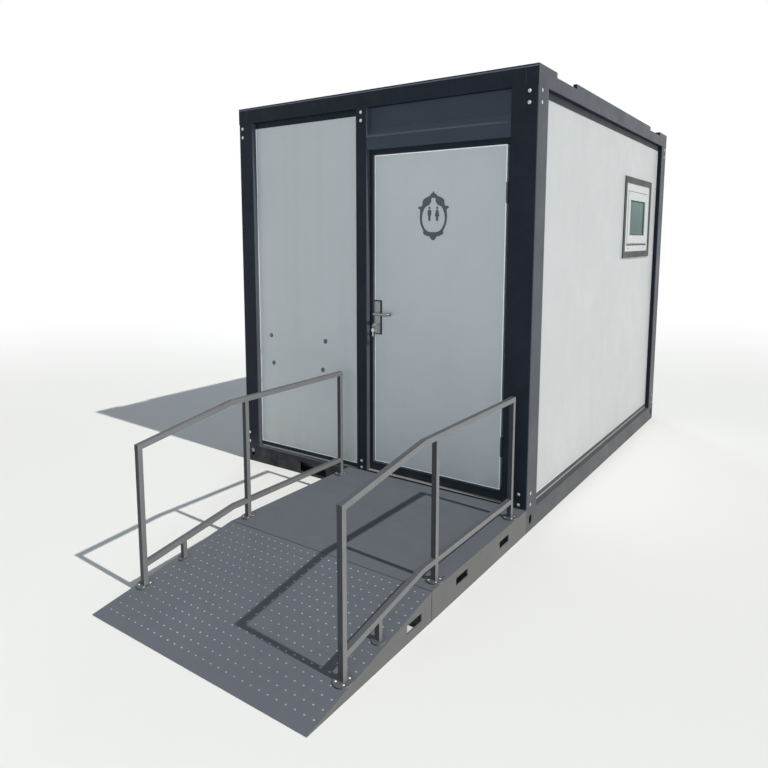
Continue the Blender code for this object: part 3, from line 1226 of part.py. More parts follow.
def fittings():
    box("mirror", (BASIN_X - MIRROR_WIDTH / 2, ROOM_FRONT + SEAT_GAP, MIRROR_LOW),
        (BASIN_X + MIRROR_WIDTH / 2, ROOM_FRONT + SEAT_GAP + MIRROR_THICKNESS, MIRROR_LOW + MIRROR_HEIGHT),
        ((0.8, 0.8, 0.82), 0.03, 1.0))
    ceiling = ROOF_LOW + SHEET_WALL
    turned("ceiling_light", [(LIGHT_RADIUS * 0.5, -LIGHT_HEIGHT), (LIGHT_RADIUS * 0.85, -LIGHT_HEIGHT * 0.8),
                             (LIGHT_RADIUS, -LIGHT_HEIGHT * 0.35), (LIGHT_RADIUS, 0)],
           (0, LIGHT_Y, ceiling), "z", ((0.9, 0.9, 0.88), 0.4), 28)
    wall = ROOM_SIDE - SEAT_GAP
    half = SWITCH_SIZE / 2
    plate = box("switch_plate", (wall - SWITCH_THICKNESS, SWITCH_Y - half, SWITCH_Z - half),
                (wall, SWITCH_Y + half, SWITCH_Z + half), WHITE_PLASTIC)
    well_w, well_h = ROCKER_WIDTH / 2 + ROCKER_FIT, ROCKER_HEIGHT / 2 + ROCKER_FIT
    cut_boxes(plate, "switch_well", [((wall - SWITCH_THICKNESS - PAST, SWITCH_Y - well_w, SWITCH_Z - well_h),
                                      (wall - SWITCH_FLOOR, SWITCH_Y + well_w, SWITCH_Z + well_h))])
    axis = (wall - SWITCH_THICKNESS + ROCKER_FIT, SWITCH_Y, SWITCH_Z)
    face_x, skirt_x = axis[0] - ROCKER_PROUD, axis[0] + ROCKER_SKIRT
    low, high = SWITCH_Z - ROCKER_HEIGHT / 2, SWITCH_Z + ROCKER_HEIGHT / 2
    outline = [(face_x, low), (face_x, high), (skirt_x, high), (wall - SWITCH_FLOOR - SEAT_GAP, SWITCH_Z),
               (skirt_x, low)]
    rocker = prism("switch_rocker", outline, "y", SWITCH_Y - ROCKER_WIDTH / 2, SWITCH_Y + ROCKER_WIDTH / 2,
                   WHITE_PLASTIC)
    pivot(rocker, axis)
    rocker.rotation_euler = (0, -ROCKER_TILT, 0)


# Assembly

for old in list(bpy.data.objects):
    bpy.data.objects.remove(old, do_unlink=True)

cabin_origin = bpy.data.objects.new("cabin_origin", None)
cabin_origin.location = (0, FRONT_Y, 0)
bpy.context.scene.collection.objects.link(cabin_origin)

base_side("base_side_left", -1)
base_side("base_side_right", 1)
base_cross_beam("base_beam_front", 0, BEAM_FLANGE)
base_cross_beam("base_beam_rear", CABIN_DEPTH, CABIN_DEPTH - BEAM_FLANGE)
floor_panel()
for side_name, side_sign in (("left", -1), ("right", 1)):
    for end_name in ("front", "rear"):
        corner_post(f"corner_post_{end_name}_{side_name}", side_sign, end_name)
mid_post()
roof_side("roof_side_left", -1)
roof_side("roof_side_right", 1)
roof_cross_beam("roof_beam_front", 0, BEAM_FLANGE)
roof_cross_beam("roof_beam_rear", CABIN_DEPTH, CABIN_DEPTH - BEAM_FLANGE)
roof_panel()
wall_panels()
header_canopy()
door_frame()
door_leaf()
for hinge_label, hinge_z in HINGE_HEIGHTS.items():
    hinge(hinge_label, hinge_z)
lock_plate("lock_plate_outer", DOOR_RECESS, -1)
lock_plate("lock_plate_inner", DOOR_BACK, 1)
lever("lever_outer", DOOR_RECESS, -1)
lever("lever_inner", DOOR_BACK, 1)
thumb_turn()
bolt("latch_bolt", LEVER_Z, DOOR_LEFT - LATCH_REACH)
bolt("dead_bolt", THUMB_Z, DOOR_LEFT - BOLT_FIT)
window()
landing_deck()
ramp_deck()
handrail("handrail_right", DECK_RIGHT - RAIL_INSET)
handrail("handrail_left", DECK_LEFT + RAIL_INSET)
toilet_pan()
seat_hinge_pin()
toilet_seat()
toilet_lid()
cistern()
wash_basin()
tap()
grab_rail()
fold_rail()
paper_holder()
fittings()
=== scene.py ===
import bpy
import bmesh
import json
from math import cos, sin, pi, radians, hypot
from mathutils import Vector, Matrix


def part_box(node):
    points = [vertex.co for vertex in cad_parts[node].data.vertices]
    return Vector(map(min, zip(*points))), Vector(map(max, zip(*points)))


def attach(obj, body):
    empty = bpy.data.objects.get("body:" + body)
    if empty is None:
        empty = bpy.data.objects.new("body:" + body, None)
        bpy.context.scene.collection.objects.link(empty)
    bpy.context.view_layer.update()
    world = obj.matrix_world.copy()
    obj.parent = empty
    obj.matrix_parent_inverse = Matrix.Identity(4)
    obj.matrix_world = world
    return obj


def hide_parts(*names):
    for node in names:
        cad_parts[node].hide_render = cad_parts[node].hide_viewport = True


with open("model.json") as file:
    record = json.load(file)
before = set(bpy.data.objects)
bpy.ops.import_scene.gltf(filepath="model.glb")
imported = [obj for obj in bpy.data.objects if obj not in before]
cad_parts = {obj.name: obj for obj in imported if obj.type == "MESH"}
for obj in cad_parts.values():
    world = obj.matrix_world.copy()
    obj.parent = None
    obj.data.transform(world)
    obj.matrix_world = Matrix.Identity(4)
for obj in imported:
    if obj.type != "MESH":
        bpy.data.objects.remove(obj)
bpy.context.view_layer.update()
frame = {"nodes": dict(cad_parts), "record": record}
nodes = frame["nodes"]
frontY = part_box("corner_post_front_left")[0][1]     # world y of the cabin's front face
print("frame loaded")

# studio: camera at the photo's angle, pale floor, soft light
studio = {
    "cameraAt": (2.414, frontY - 3.273, 1.619),
    "cameraTurn": (82.84, -0.08, 34.76),
    "lens": 30.76,
    "sensor": 36.0,
    "shift": (-0.0013, -0.0824),
    "sees": 200.0,
    "floorSize": 70.0,
    "floorDrop": 0.0005,
    "floorColor": (0.80, 0.80, 0.79),
    "floorRough": 0.9,
    "floorGloss": 0.1,
    "fadeStart": 3.5,                                   # from here the floor fades to plain white
    "fadeEnd": 11.0,
    "skyLight": 0.22,
    "skyTint": (0.82, 0.92, 1.0),
    "sunWay": (0.652, -0.032, 0.757),                   # towards the sun, nearly level with the front
    "sunFar": 12.0,
    "sunPower": 3.15,
    "sunSpread": 0.9,
    "sunTint": (1.0, 0.975, 0.925),
    "lampSize": 4.0,
    "lamps": {"fillLight": ((3.0, -7.8, 1.3), (0, -0.8, 1.2), 265.0),     # where, aimed at, power
              "backLight": ((-6.5, 9.0, 3.5), (0, 0.6, 1.2), 330.0)},
}


def placeCamera(s):
    scene = bpy.context.scene
    camera = bpy.data.objects.new("camera", bpy.data.cameras.new("camera"))
    camera.location = s["cameraAt"]
    camera.rotation_euler = [radians(a) for a in s["cameraTurn"]]
    camera.data.sensor_width = s["sensor"]
    camera.data.lens = s["lens"]
    camera.data.shift_x, camera.data.shift_y = s["shift"]
    camera.data.clip_end = s["sees"]
    scene.collection.objects.link(camera)
    scene.camera = camera
    scene.view_settings.view_transform = "Standard"


def lightSky(s):
    world = bpy.data.worlds.new("paleRoom")
    bpy.context.scene.world = world
    world.use_nodes = True
    tree = world.node_tree
    back = tree.nodes["Background"]
    seen = seenRays(tree)
    power = ranged(tree, seen, 0.0, 1.0, s["skyLight"], 1.0)
    tree.links.new(power, back.inputs["Strength"])
    tree.links.new(mixed(tree, seen, s["skyTint"], (1, 1, 1)), back.inputs["Color"])


def hangLamps(s):
    scene = bpy.context.scene
    sun = bpy.data.objects.new("sunLight", bpy.data.lights.new("sunLight", "SUN"))
    sun.data.energy = s["sunPower"]
    sun.data.angle = radians(s["sunSpread"])
    sun.data.color = s["sunTint"]
    sun.location = Vector(s["sunWay"]) * s["sunFar"]
    sun.rotation_euler = Vector(s["sunWay"]).to_track_quat("Z", "Y").to_euler()
    scene.collection.objects.link(sun)
    for name, (place, aim, power) in s["lamps"].items():
        lamp = bpy.data.objects.new(name, bpy.data.lights.new(name, "AREA"))
        lamp.data.size = s["lampSize"]
        lamp.data.energy = power
        lamp.data.color = s["skyTint"]
        lamp.location = place
        lamp.visible_camera = False
        lamp.visible_glossy = False                     # no square patch mirrored in the door
        lamp.rotation_euler = (Vector(place) - Vector(aim)).to_track_quat("Z", "Y").to_euler()
        scene.collection.objects.link(lamp)


def layFloor(s):
    half = s["floorSize"] / 2
    mesh = bpy.data.meshes.new("studioFloor")
    corners = [(-half, -half, 0), (half, -half, 0), (half, half, 0), (-half, half, 0)]
    mesh.from_pydata(corners, [], [(0, 1, 2, 3)])
    ground = bpy.data.objects.new("studioFloor", mesh)
    ground.location.z = -s["floorDrop"]
    bpy.context.scene.collection.objects.link(ground)
    mat = bpy.data.materials.new("paleGround")
    mat.use_nodes = True
    tree = mat.node_tree
    shader = tree.nodes["Principled BSDF"]
    shader.inputs["Base Color"].default_value = (*s["floorColor"], 1)
    shader.inputs["Roughness"].default_value = s["floorRough"]
    shader.inputs["Specular IOR Level"].default_value = s["floorGloss"]
    glow = tree.nodes.new("ShaderNodeEmission")
    coords = tree.nodes.new("ShaderNodeTexCoord")
    reach = tree.nodes.new("ShaderNodeVectorMath")
    reach.operation = "LENGTH"
    fade = tree.nodes.new("ShaderNodeMapRange")
    fade.interpolation_type = "SMOOTHSTEP"
    fade.inputs["From Min"].default_value = s["fadeStart"]
    fade.inputs["From Max"].default_value = s["fadeEnd"]
    part = mathNode(tree, "MULTIPLY", fade.outputs[0], seenRays(tree))
    mix = tree.nodes.new("ShaderNodeMixShader")
    tree.links.new(coords.outputs["Object"], reach.inputs[0])
    tree.links.new(reach.outputs["Value"], fade.inputs["Value"])
    tree.links.new(part, mix.inputs[0])
    tree.links.new(shader.outputs[0], mix.inputs[1])
    tree.links.new(glow.outputs[0], mix.inputs[2])
    tree.links.new(mix.outputs[0], tree.nodes["Material Output"].inputs["Surface"])
    mesh.materials.append(mat)


def mathNode(tree, kind, a, b, clamp=False):
    node = tree.nodes.new("ShaderNodeMath")
    node.operation = kind
    node.use_clamp = clamp
    for socket, value in zip(node.inputs, (a, b)):
        if isinstance(value, (int, float)):
            socket.default_value = value
        else:
            tree.links.new(value, socket)
    return node.outputs[0]


def seenRays(tree):
    # camera, glossy and transmission rays all meet the plain white room
    rays = tree.nodes.new("ShaderNodeLightPath")
    first = mathNode(tree, "MAXIMUM", rays.outputs["Is Camera Ray"], rays.outputs["Is Glossy Ray"])
    return mathNode(tree, "MAXIMUM", first, rays.outputs["Is Transmission Ray"])


def noiseNode(tree, vector, scale, detail=4.0, rough=0.55):
    node = tree.nodes.new("ShaderNodeTexNoise")
    node.inputs["Scale"].default_value = scale
    node.inputs["Detail"].default_value = detail
    node.inputs["Roughness"].default_value = rough
    tree.links.new(vector, node.inputs["Vector"])
    return node.outputs["Fac"]


def stretched(tree, vector, scale):
    node = tree.nodes.new("ShaderNodeMapping")
    node.inputs["Scale"].default_value = scale
    tree.links.new(vector, node.inputs["Vector"])
    return node.outputs[0]


def ranged(tree, value, low, high, toLow=0.0, toHigh=1.0):
    node = tree.nodes.new("ShaderNodeMapRange")
    for key, number in (("From Min", low), ("From Max", high), ("To Min", toLow), ("To Max", toHigh)):
        node.inputs[key].default_value = number
    tree.links.new(value, node.inputs["Value"])
    return node.outputs[0]


def mixed(tree, amount, first, second):
    node = tree.nodes.new("ShaderNodeMix")
    node.data_type = "RGBA"
    tree.links.new(amount, node.inputs[0])
    for socket, value in ((node.inputs[6], first), (node.inputs[7], second)):
        if isinstance(value, tuple):
            socket.default_value = (*value, 1)
        else:
            tree.links.new(value, socket)
    return node.outputs[2]


placeCamera(studio)
lightSky(studio)
hangLamps(studio)
layFloor(studio)
print("studio set")

# finishes: every surface gets drift of tone, fine grain, and wear or dust where it belongs; some also get
# painted sunlight, a lighter colour on their +X sides and up-facing tops
finishes = {
    "framePaint": {"color": (0.009, 0.013, 0.022), "rough": 0.48, "gloss": 0.10, "drift": 0.14,
                   "grain": 260, "bump": 0.10, "dust": 0.55, "dustTop": 0.20,
                   "dustColor": (0.105, 0.102, 0.094), "scratch": 0.40, "paintedSunlit": (0.084, 0.092, 0.108),
                   "paintedTopLight": (0.072, 0.080, 0.096)},
    "headerPaint": {"color": (0.036, 0.046, 0.063), "rough": 0.45, "gloss": 0.14, "drift": 0.14,
                    "grain": 260, "bump": 0.10, "scratch": 0.40, "paintedTopLight": (0.060, 0.068, 0.084),
                    "paintedSunlit": (0.084, 0.092, 0.108)},
    "panelPaint": {"color": (0.490, 0.516, 0.527), "rough": 0.38, "gloss": 0.4, "drift": 0.03,
                   "grain": 420, "bump": 0.05, "dust": 0.30, "dustTop": 0.50,
                   "dustColor": (0.36, 0.35, 0.31), "streak": 0.05},
    "deckPaint": {"color": (0.106, 0.118, 0.145), "rough": 0.52, "gloss": 0.12, "drift": 0.05,
                  "grain": 650, "bump": 0.20, "dust": 0.22, "dustTop": 0.60,
                  "dustColor": (0.15, 0.148, 0.138), "scratch": 0.4, "paintedSunlit": (0.134, 0.133, 0.130)},
    "railPaint": {"color": (0.030, 0.034, 0.039), "rough": 0.42, "gloss": 0.2, "drift": 0.08,
                  "grain": 300, "bump": 0.08, "dust": 0.15, "dustTop": 0.50,
                  "dustColor": (0.15, 0.145, 0.135), "scratch": 0.35, "paintedSunlit": (0.192, 0.196, 0.198),
                  "paintedTopLight": (0.088, 0.093, 0.105)},
    "hingePaint": {"color": (0.040, 0.046, 0.058), "rough": 0.40, "metal": 0.3, "drift": 0.10,
                   "grain": 200, "bump": 0.1},
    "lockSteel": {"color": (0.26, 0.27, 0.28), "rough": 0.33, "metal": 1.0, "drift": 0.08, "brush": 0.10},
    "windowPlastic": {"color": (0.50, 0.53, 0.535), "rough": 0.30, "gloss": 0.4, "drift": 0.02,
                      "grain": 700, "bump": 0.04},
    "boltCap": {"color": (0.10, 0.108, 0.12), "rough": 0.45, "drift": 0.12, "grain": 300, "bump": 0.1},
    "floorVinyl": {"color": (0.24, 0.26, 0.28), "rough": 0.55, "drift": 0.10, "grain": 500, "bump": 0.20,
                   "speckle": 0.5},
    "roofSheet": {"color": (0.46, 0.48, 0.49), "rough": 0.45, "drift": 0.08, "grain": 380, "bump": 0.06,
                  "streak": 0.12},
    "brushedSteel": {"color": (0.56, 0.57, 0.58), "rough": 0.27, "metal": 1.0, "drift": 0.05,
                     "brush": 0.12},
    "chrome": {"color": (0.78, 0.79, 0.80), "rough": 0.08, "metal": 1.0, "drift": 0.03, "grain": 30,
               "bump": 0.0},
    "whitePlastic": {"color": (0.78, 0.79, 0.78), "rough": 0.30, "drift": 0.02, "grain": 700,
                     "bump": 0.04},
    "lightDiffuser": {"color": (0.88, 0.88, 0.86), "rough": 0.45, "drift": 0.02, "grain": 160,
                      "bump": 0.15},
    "ceramic": {"color": (0.84, 0.84, 0.82), "rough": 0.10, "drift": 0.015, "grain": 14, "bump": 0.03,
                "coat": 0.6},
    "mirrorFace": {"color": (0.86, 0.87, 0.88), "rough": 0.03, "metal": 1.0, "drift": 0.02, "grain": 9,
                   "bump": 0.0},
    "paper": {"color": (0.83, 0.82, 0.79), "rough": 0.9, "drift": 0.04, "grain": 240, "bump": 0.5},
    "darkRubber": {"color": (0.018, 0.019, 0.021), "rough": 0.7, "drift": 0.2, "grain": 500,
                   "bump": 0.25},
    "zincBolt": {"color": (0.60, 0.61, 0.60), "rough": 0.34, "metal": 0.9, "drift": 0.18, "grain": 120,
                 "bump": 0.2},
    # real edge trim, its near-white colour partly painted highlight along the edges
    "edgeTrimAndHighlight": {"color": (0.93, 0.95, 0.95), "rough": 0.25, "drift": 0.02, "grain": 300, "bump": 0.05},
    "softEdge": {"color": (0.58, 0.60, 0.60), "rough": 0.35, "drift": 0.03, "grain": 300, "bump": 0.05},
    "trimPaint": {"color": (0.046, 0.051, 0.052), "rough": 0.45, "gloss": 0.15, "drift": 0.12,
                  "grain": 260, "bump": 0.08},
    "lipPaint": {"color": (0.105, 0.115, 0.138), "rough": 0.45, "gloss": 0.2, "drift": 0.12, "grain": 260,
                 "bump": 0.08},
    "sillMetal": {"color": (0.27, 0.275, 0.275), "rough": 0.40, "metal": 0.2, "drift": 0.12, "grain": 160,
                  "bump": 0.1, "scratch": 0.5},
    "dotMetal": {"color": (0.34, 0.37, 0.41), "rough": 0.35, "metal": 0.3, "drift": 0.30, "grain": 60,
                 "bump": 0.1},
    "signDark": {"color": (0.050, 0.062, 0.082), "rough": 0.35, "drift": 0.12, "grain": 300,
                 "bump": 0.04},
    "cardboard": {"color": (0.34, 0.25, 0.16), "rough": 0.85, "drift": 0.08, "grain": 300, "bump": 0.3},
}


# how wear and painted sunlight are drawn; scales are per metre, and pairs are the noise values that it fades
# between
wearAndPaintedLight = {
    "even": (0.3, 0.7),
    "cloudScale": 1.7,
    "roughScale": 6.0, "roughLow": 0.82, "roughHigh": 1.22,
    # painted sunlight: patch noise, and the normal ranges that pick the sun side and the tops
    "paintedLightScale": 4.0, "paintedLightLeast": 0.82, "paintedLightSide": (0.35, 0.95), "paintedLightTop": (0.10, 0.55),
    "rainStretch": (14, 14, 0.35), "rainRange": (0.50, 0.78), "rainGain": 2.2, "rainDark": 0.62,
    "dustScale": 9.0, "dustRange": (0.30, 0.66), "dustFull": 0.3, "dustEverywhere": 0.12,
    "scratchStretch": (30, 30, 3.0), "scratchScale": 2.2, "scratchRange": (0.715, 0.735),
    "scratchSpots": 3.1, "scratchFew": (0.55, 0.62), "scratchBright": 2.4, "scratchLift": 0.04,
    "speckleScale": 190.0, "speckleRange": (0.22, 0.30), "speckleFew": (0.55, 0.60),
    "speckleColor": (0.55, 0.57, 0.58),
    "hairStretch": (900, 900, 12), "hairBump": 0.06, "hairShine": 0.07, "hairTurn": 0.35,
    "bumpDistance": 0.0012, "coatRough": 0.05,
}


def paintedSunlight(tree, coords, color, f, w):
    # painted sunlight: faces turned to +X, where the sun falls, and up-facing tops take a lighter colour,
    # patchy by noise
    where = coords.outputs["Object"]
    facing = tree.nodes.new("ShaderNodeSeparateXYZ")
    tree.links.new(coords.outputs["Normal"], facing.inputs[0])
    cloud = noiseNode(tree, where, w["paintedLightScale"], 6.0, 0.65)
    patchy = ranged(tree, cloud, *w["even"], w["paintedLightLeast"], 1.0)
    if f.get("paintedTopLight"):
        upward = ranged(tree, facing.outputs["Z"], *w["paintedLightTop"])
        color = mixed(tree, mathNode(tree, "MULTIPLY", upward, patchy), color, f["paintedTopLight"])
    side = ranged(tree, facing.outputs["X"], *w["paintedLightSide"])
    return mixed(tree, mathNode(tree, "MULTIPLY", side, patchy), color, f["paintedSunlit"])


def rained(tree, where, color, f, w):
    rain = noiseNode(tree, stretched(tree, where, w["rainStretch"]), 1.0, 5.0)
    amount = ranged(tree, rain, *w["rainRange"], 0.0, f["streak"] * w["rainGain"])
    return mixed(tree, amount, color, tuple(Vector(f["color"]) * w["rainDark"]))


def dusted(tree, where, color, f, w):
    height = tree.nodes.new("ShaderNodeSeparateXYZ")
    tree.links.new(where, height.inputs[0])
    low = ranged(tree, height.outputs["Z"], f["dustTop"] * w["dustFull"], f["dustTop"], 1.0, 0.0)
    patch = ranged(tree, noiseNode(tree, where, w["dustScale"], 7.0, 0.7), *w["dustRange"])
    spread = mathNode(tree, "ADD", low, w["dustEverywhere"])
    amount = mathNode(tree, "MULTIPLY", spread, patch, True)
    return mixed(tree, mathNode(tree, "MULTIPLY", amount, f["dust"]), color, f["dustColor"])


def scratched(tree, where, color, f, w):
    fine = noiseNode(tree, stretched(tree, where, w["scratchStretch"]), w["scratchScale"], 2.0)
    line = ranged(tree, fine, *w["scratchRange"])
    thin = ranged(tree, noiseNode(tree, where, w["scratchSpots"], 2.0), *w["scratchFew"])
    worn = mathNode(tree, "MULTIPLY", mathNode(tree, "MULTIPLY", line, thin), f["scratch"])
    bright = Vector(f["color"]) * w["scratchBright"] + Vector([w["scratchLift"]] * 3)
    return mixed(tree, worn, color, tuple(bright))


def speckled(tree, where, color, f, w):
    cells = tree.nodes.new("ShaderNodeTexVoronoi")
    cells.inputs["Scale"].default_value = w["speckleScale"]
    tree.links.new(where, cells.inputs["Vector"])
    spot = ranged(tree, cells.outputs["Distance"], *w["speckleRange"], 1.0, 0.0)
    pick = tree.nodes.new("ShaderNodeSeparateColor")
    tree.links.new(cells.outputs["Color"], pick.inputs[0])
    few = ranged(tree, pick.outputs[0], *w["speckleFew"])
    spot = mathNode(tree, "MULTIPLY", mathNode(tree, "MULTIPLY", spot, few), f["speckle"])
    return mixed(tree, spot, color, w["speckleColor"])


def makeFinish(name, f, w):
    mat = bpy.data.materials.new(name)
    mat.use_nodes = True
    tree = mat.node_tree
    shader = tree.nodes["Principled BSDF"]
    shader.inputs["Metallic"].default_value = f.get("metal", 0.0)
    shader.inputs["Specular IOR Level"].default_value = f.get("gloss", 0.5)
    shader.inputs["Coat Weight"].default_value = f.get("coat", 0.0)
    shader.inputs["Coat Roughness"].default_value = w["coatRough"]
    coords = tree.nodes.new("ShaderNodeTexCoord")
    where = coords.outputs["Object"]
    base, drift = Vector(f["color"]), f["drift"]
    cloud = ranged(tree, noiseNode(tree, where, w["cloudScale"], 6.0, 0.6), *w["even"])
    color = mixed(tree, cloud, tuple(base * (1 - drift)), tuple(base * (1 + drift)))
    # painted sunlight on the sun side and on tops
    if f.get("paintedSunlit"):
        color = paintedSunlight(tree, coords, color, f, w)
    for key, worn in (("streak", rained), ("dust", dusted), ("scratch", scratched), ("speckle", speckled)):
        if f.get(key):
            color = worn(tree, where, color, f, w)
    bumpFrom = None
    if f.get("brush"):
        hair = noiseNode(tree, stretched(tree, where, w["hairStretch"]), 1.0, 3.0)
        rough = ranged(tree, hair, *w["even"], f["rough"] - w["hairShine"], f["rough"] + f["brush"])
        bumpFrom, strength = hair, w["hairBump"]
        shader.inputs["Anisotropic"].default_value = w["hairTurn"]
    else:
        patches = noiseNode(tree, where, w["roughScale"], 5.0)
        rough = ranged(tree, patches, *w["even"], f["rough"] * w["roughLow"], f["rough"] * w["roughHigh"])
        if f.get("bump"):
            bumpFrom, strength = noiseNode(tree, where, f["grain"], 2.0), f["bump"]
    if bumpFrom:
        bump = tree.nodes.new("ShaderNodeBump")
        bump.inputs["Strength"].default_value = strength
        bump.inputs["Distance"].default_value = w["bumpDistance"]
        tree.links.new(bumpFrom, bump.inputs["Height"])
        tree.links.new(bump.outputs[0], shader.inputs["Normal"])
    tree.links.new(color, shader.inputs["Base Color"])
    tree.links.new(rough, shader.inputs["Roughness"])
    return mat


finish = {name: makeFinish(name, f, wearAndPaintedLight) for name, f in finishes.items()}


# window glass: grey green; painted reflection: its colour turns brighter in streaks in its upper half,
# standing for the bright sky mirrored there
glass = {"tint": (0.056, 0.125, 0.114), "rough": 0.05, "through": 0.10, "index": 1.28, "gloss": 0.08,
         "stretch": (9, 9, 0.8), "hazeRange": (0.35, 0.65), "paintedSkyFrom": 1.74, "paintedSkyTo": 1.90, "paintedSkyGain": 1.7,
         "roughLow": 0.7, "roughHigh": 1.3}


def makeGlass(name, g):
    mat = bpy.data.materials.new(name)
    mat.use_nodes = True
    tree = mat.node_tree
    shader = tree.nodes["Principled BSDF"]
    shader.inputs["Transmission Weight"].default_value = g["through"]
    shader.inputs["IOR"].default_value = g["index"]
    shader.inputs["Specular IOR Level"].default_value = g["gloss"]
    where = tree.nodes.new("ShaderNodeTexCoord").outputs["Object"]
    haze = ranged(tree, noiseNode(tree, stretched(tree, where, g["stretch"]), 1.0, 3.0), *g["hazeRange"])
    height = tree.nodes.new("ShaderNodeSeparateXYZ")
    tree.links.new(where, height.inputs[0])
    # painted reflection: a brighter tint in streaks between these heights
    streak = mathNode(tree, "MULTIPLY", haze, ranged(tree, height.outputs["Z"], g["paintedSkyFrom"], g["paintedSkyTo"]))
    bright = tuple(c * g["paintedSkyGain"] for c in g["tint"])
    tree.links.new(mixed(tree, streak, g["tint"], bright), shader.inputs["Base Color"])
    rough = ranged(tree, haze, 0, 1, g["rough"] * g["roughLow"], g["rough"] * g["roughHigh"])
    tree.links.new(rough, shader.inputs["Roughness"])
    return mat


finish["windowGlass"] = makeGlass("windowGlass", glass)
slotFinish = {"frame_paint": "framePaint", "panel_paint": "panelPaint", "floor_vinyl": "floorVinyl",
              "roof_sheet": "roofSheet", "deck_paint": "deckPaint", "rail_paint": "railPaint",
              "brushed_steel": "brushedSteel", "chrome": "chrome", "white_plastic": "whitePlastic",
              "light_diffuser": "lightDiffuser", "ceramic": "ceramic", "window_glass": "windowGlass",
              "mirror": "mirrorFace", "paper": "paper"}
nodeFinish = {"lock_plate_outer": "lockSteel", "lock_plate_inner": "lockSteel", "lever_outer": "lockSteel",
              "lever_inner": "lockSteel", "window_frame": "windowPlastic", "window_sash": "windowPlastic",
              "window_trim": "trimPaint", "header_canopy": "headerPaint"}
for leaf in ("frame_lower", "frame_upper", "door_lower", "door_upper"):
    nodeFinish["hinge_" + leaf] = "hingePaint"
for row in frame["record"]["subparts"]:
    node = nodes[row["node"]]
    node.data.materials.clear()
    look = nodeFinish.get(row["node"], slotFinish[row["material_slot"]])
    node.data.materials.append(finish[look])
print("finishes on", len(nodes), "nodes")


def placePiece(name, bm, look, body="cabin", smooth=True, stand=None):
    bmesh.ops.recalc_face_normals(bm, faces=bm.faces)
    mesh = bpy.data.meshes.new(name)
    bm.to_mesh(mesh)
    bm.free()
    mesh.transform(Matrix.Translation((0, frontY, 0)))
    if smooth:
        mesh.shade_smooth()
        mesh.set_sharp_from_angle(angle=radians(38))
    piece = bpy.data.objects.new(name, mesh)
    bpy.context.scene.collection.objects.link(piece)
    mesh.materials.append(finish[look])
    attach(piece, body)
    if stand:
        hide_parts(stand)
    return piece


def addBlock(bm, low, high, edge=0.0008):
    # a box with eased edges
    made = bmesh.ops.create_cube(bm, size=1.0)
    size = [max(h - l, 1e-5) for l, h in zip(low, high)]
    middle = [(h + l) / 2 for l, h in zip(low, high)]
    place = Matrix.Translation(middle) @ Matrix.Diagonal((*size, 1))
    bmesh.ops.transform(bm, matrix=place, verts=made["verts"])
    if edge:
        edges = list({e for v in made["verts"] for e in v.link_edges})
        bmesh.ops.bevel(bm, geom=edges, offset=min(edge, min(size) * 0.3), segments=1, affect="EDGES")


def addFrame(bm, axis, face, out, u0, v0, u1, v1, width, thick):
    # four strips round a rectangle that lies on a face across the axis
    for a, b, c, d in ((u0, v0, u1, v0 + width), (u0, v1 - width, u1, v1),
                       (u0, v0 + width, u0 + width, v1 - width), (u1 - width, v0 + width, u1, v1 - width)):
        w0, w1 = sorted((face, face + out * thick))
        if axis == "x":
            addBlock(bm, (w0, a, b), (w1, c, d))
        elif axis == "y":
            addBlock(bm, (a, w0, b), (c, w1, d))
        else:
            addBlock(bm, (a, b, w0), (c, d, w1))


def addTurned(bm, profile, centre, axis, sides=16):
    # profile points are (radius, height); a radius of 0 closes an end
    turn = Vector((0, 0, 1)).rotation_difference(Vector(axis)).to_matrix()
    rows = []
    for radius, height in profile:
        count = 1 if radius == 0 else sides
        ring = []
        for k in range(count):
            angle = 2 * pi * k / sides
            spot = Vector((radius * cos(angle), radius * sin(angle), height))
            ring.append(bm.verts.new(Vector(centre) + turn @ spot))
        rows.append(ring)
    for low, high in zip(rows, rows[1:]):
        for k in range(sides):
            j = (k + 1) % sides
            corners = []
            for vert in (low[k % len(low)], low[j % len(low)], high[j % len(high)], high[k % len(high)]):
                if vert not in corners:
                    corners.append(vert)
            if len(corners) > 2:
                bm.faces.new(corners)
    for ring, flip in ((rows[0], True), (rows[-1], False)):
        if len(ring) > 1:
            bm.faces.new(ring[::-1] if flip else ring)


# a domed head with a driver socket on a thin washer, in shares of the head's radius and height
screwShape = ((1.35, 0), (1.35, 0.22), (1, 0.24), (0.97, 0.6), (0.7, 1), (0.42, 1), (0.38, 0.45), (0, 0.4))


def addScrew(bm, centre, axis, radius, height):
    addTurned(bm, [(radius * wide, height * high) for wide, high in screwShape], centre, axis, 14)


def addTube(bm, points, radius, sides=12, closed=False):
    path = [Vector(p) for p in points]
    rows = []
    side = None
    for i, point in enumerate(path):
        before = path[i - 1] if i or closed else point
        after = path[(i + 1) % len(path)] if i + 1 < len(path) or closed else point
        ahead = (after - before).normalized()
        if side is None:
            side = ahead.orthogonal().normalized()
        side = (side - ahead * side.dot(ahead)).normalized()
        other = ahead.cross(side)
        turns = [2 * pi * k / sides for k in range(sides)]
        rows.append([bm.verts.new(point + radius * (cos(a) * side + sin(a) * other)) for a in turns])
    pairs = list(zip(rows, rows[1:]))
    if closed:
        pairs.append((rows[-1], rows[0]))
    for low, high in pairs:
        for k in range(sides):
            bm.faces.new((low[k], low[(k + 1) % sides], high[(k + 1) % sides], high[k]))
    if not closed:
        bm.faces.new(rows[0][::-1])
        bm.faces.new(rows[-1])


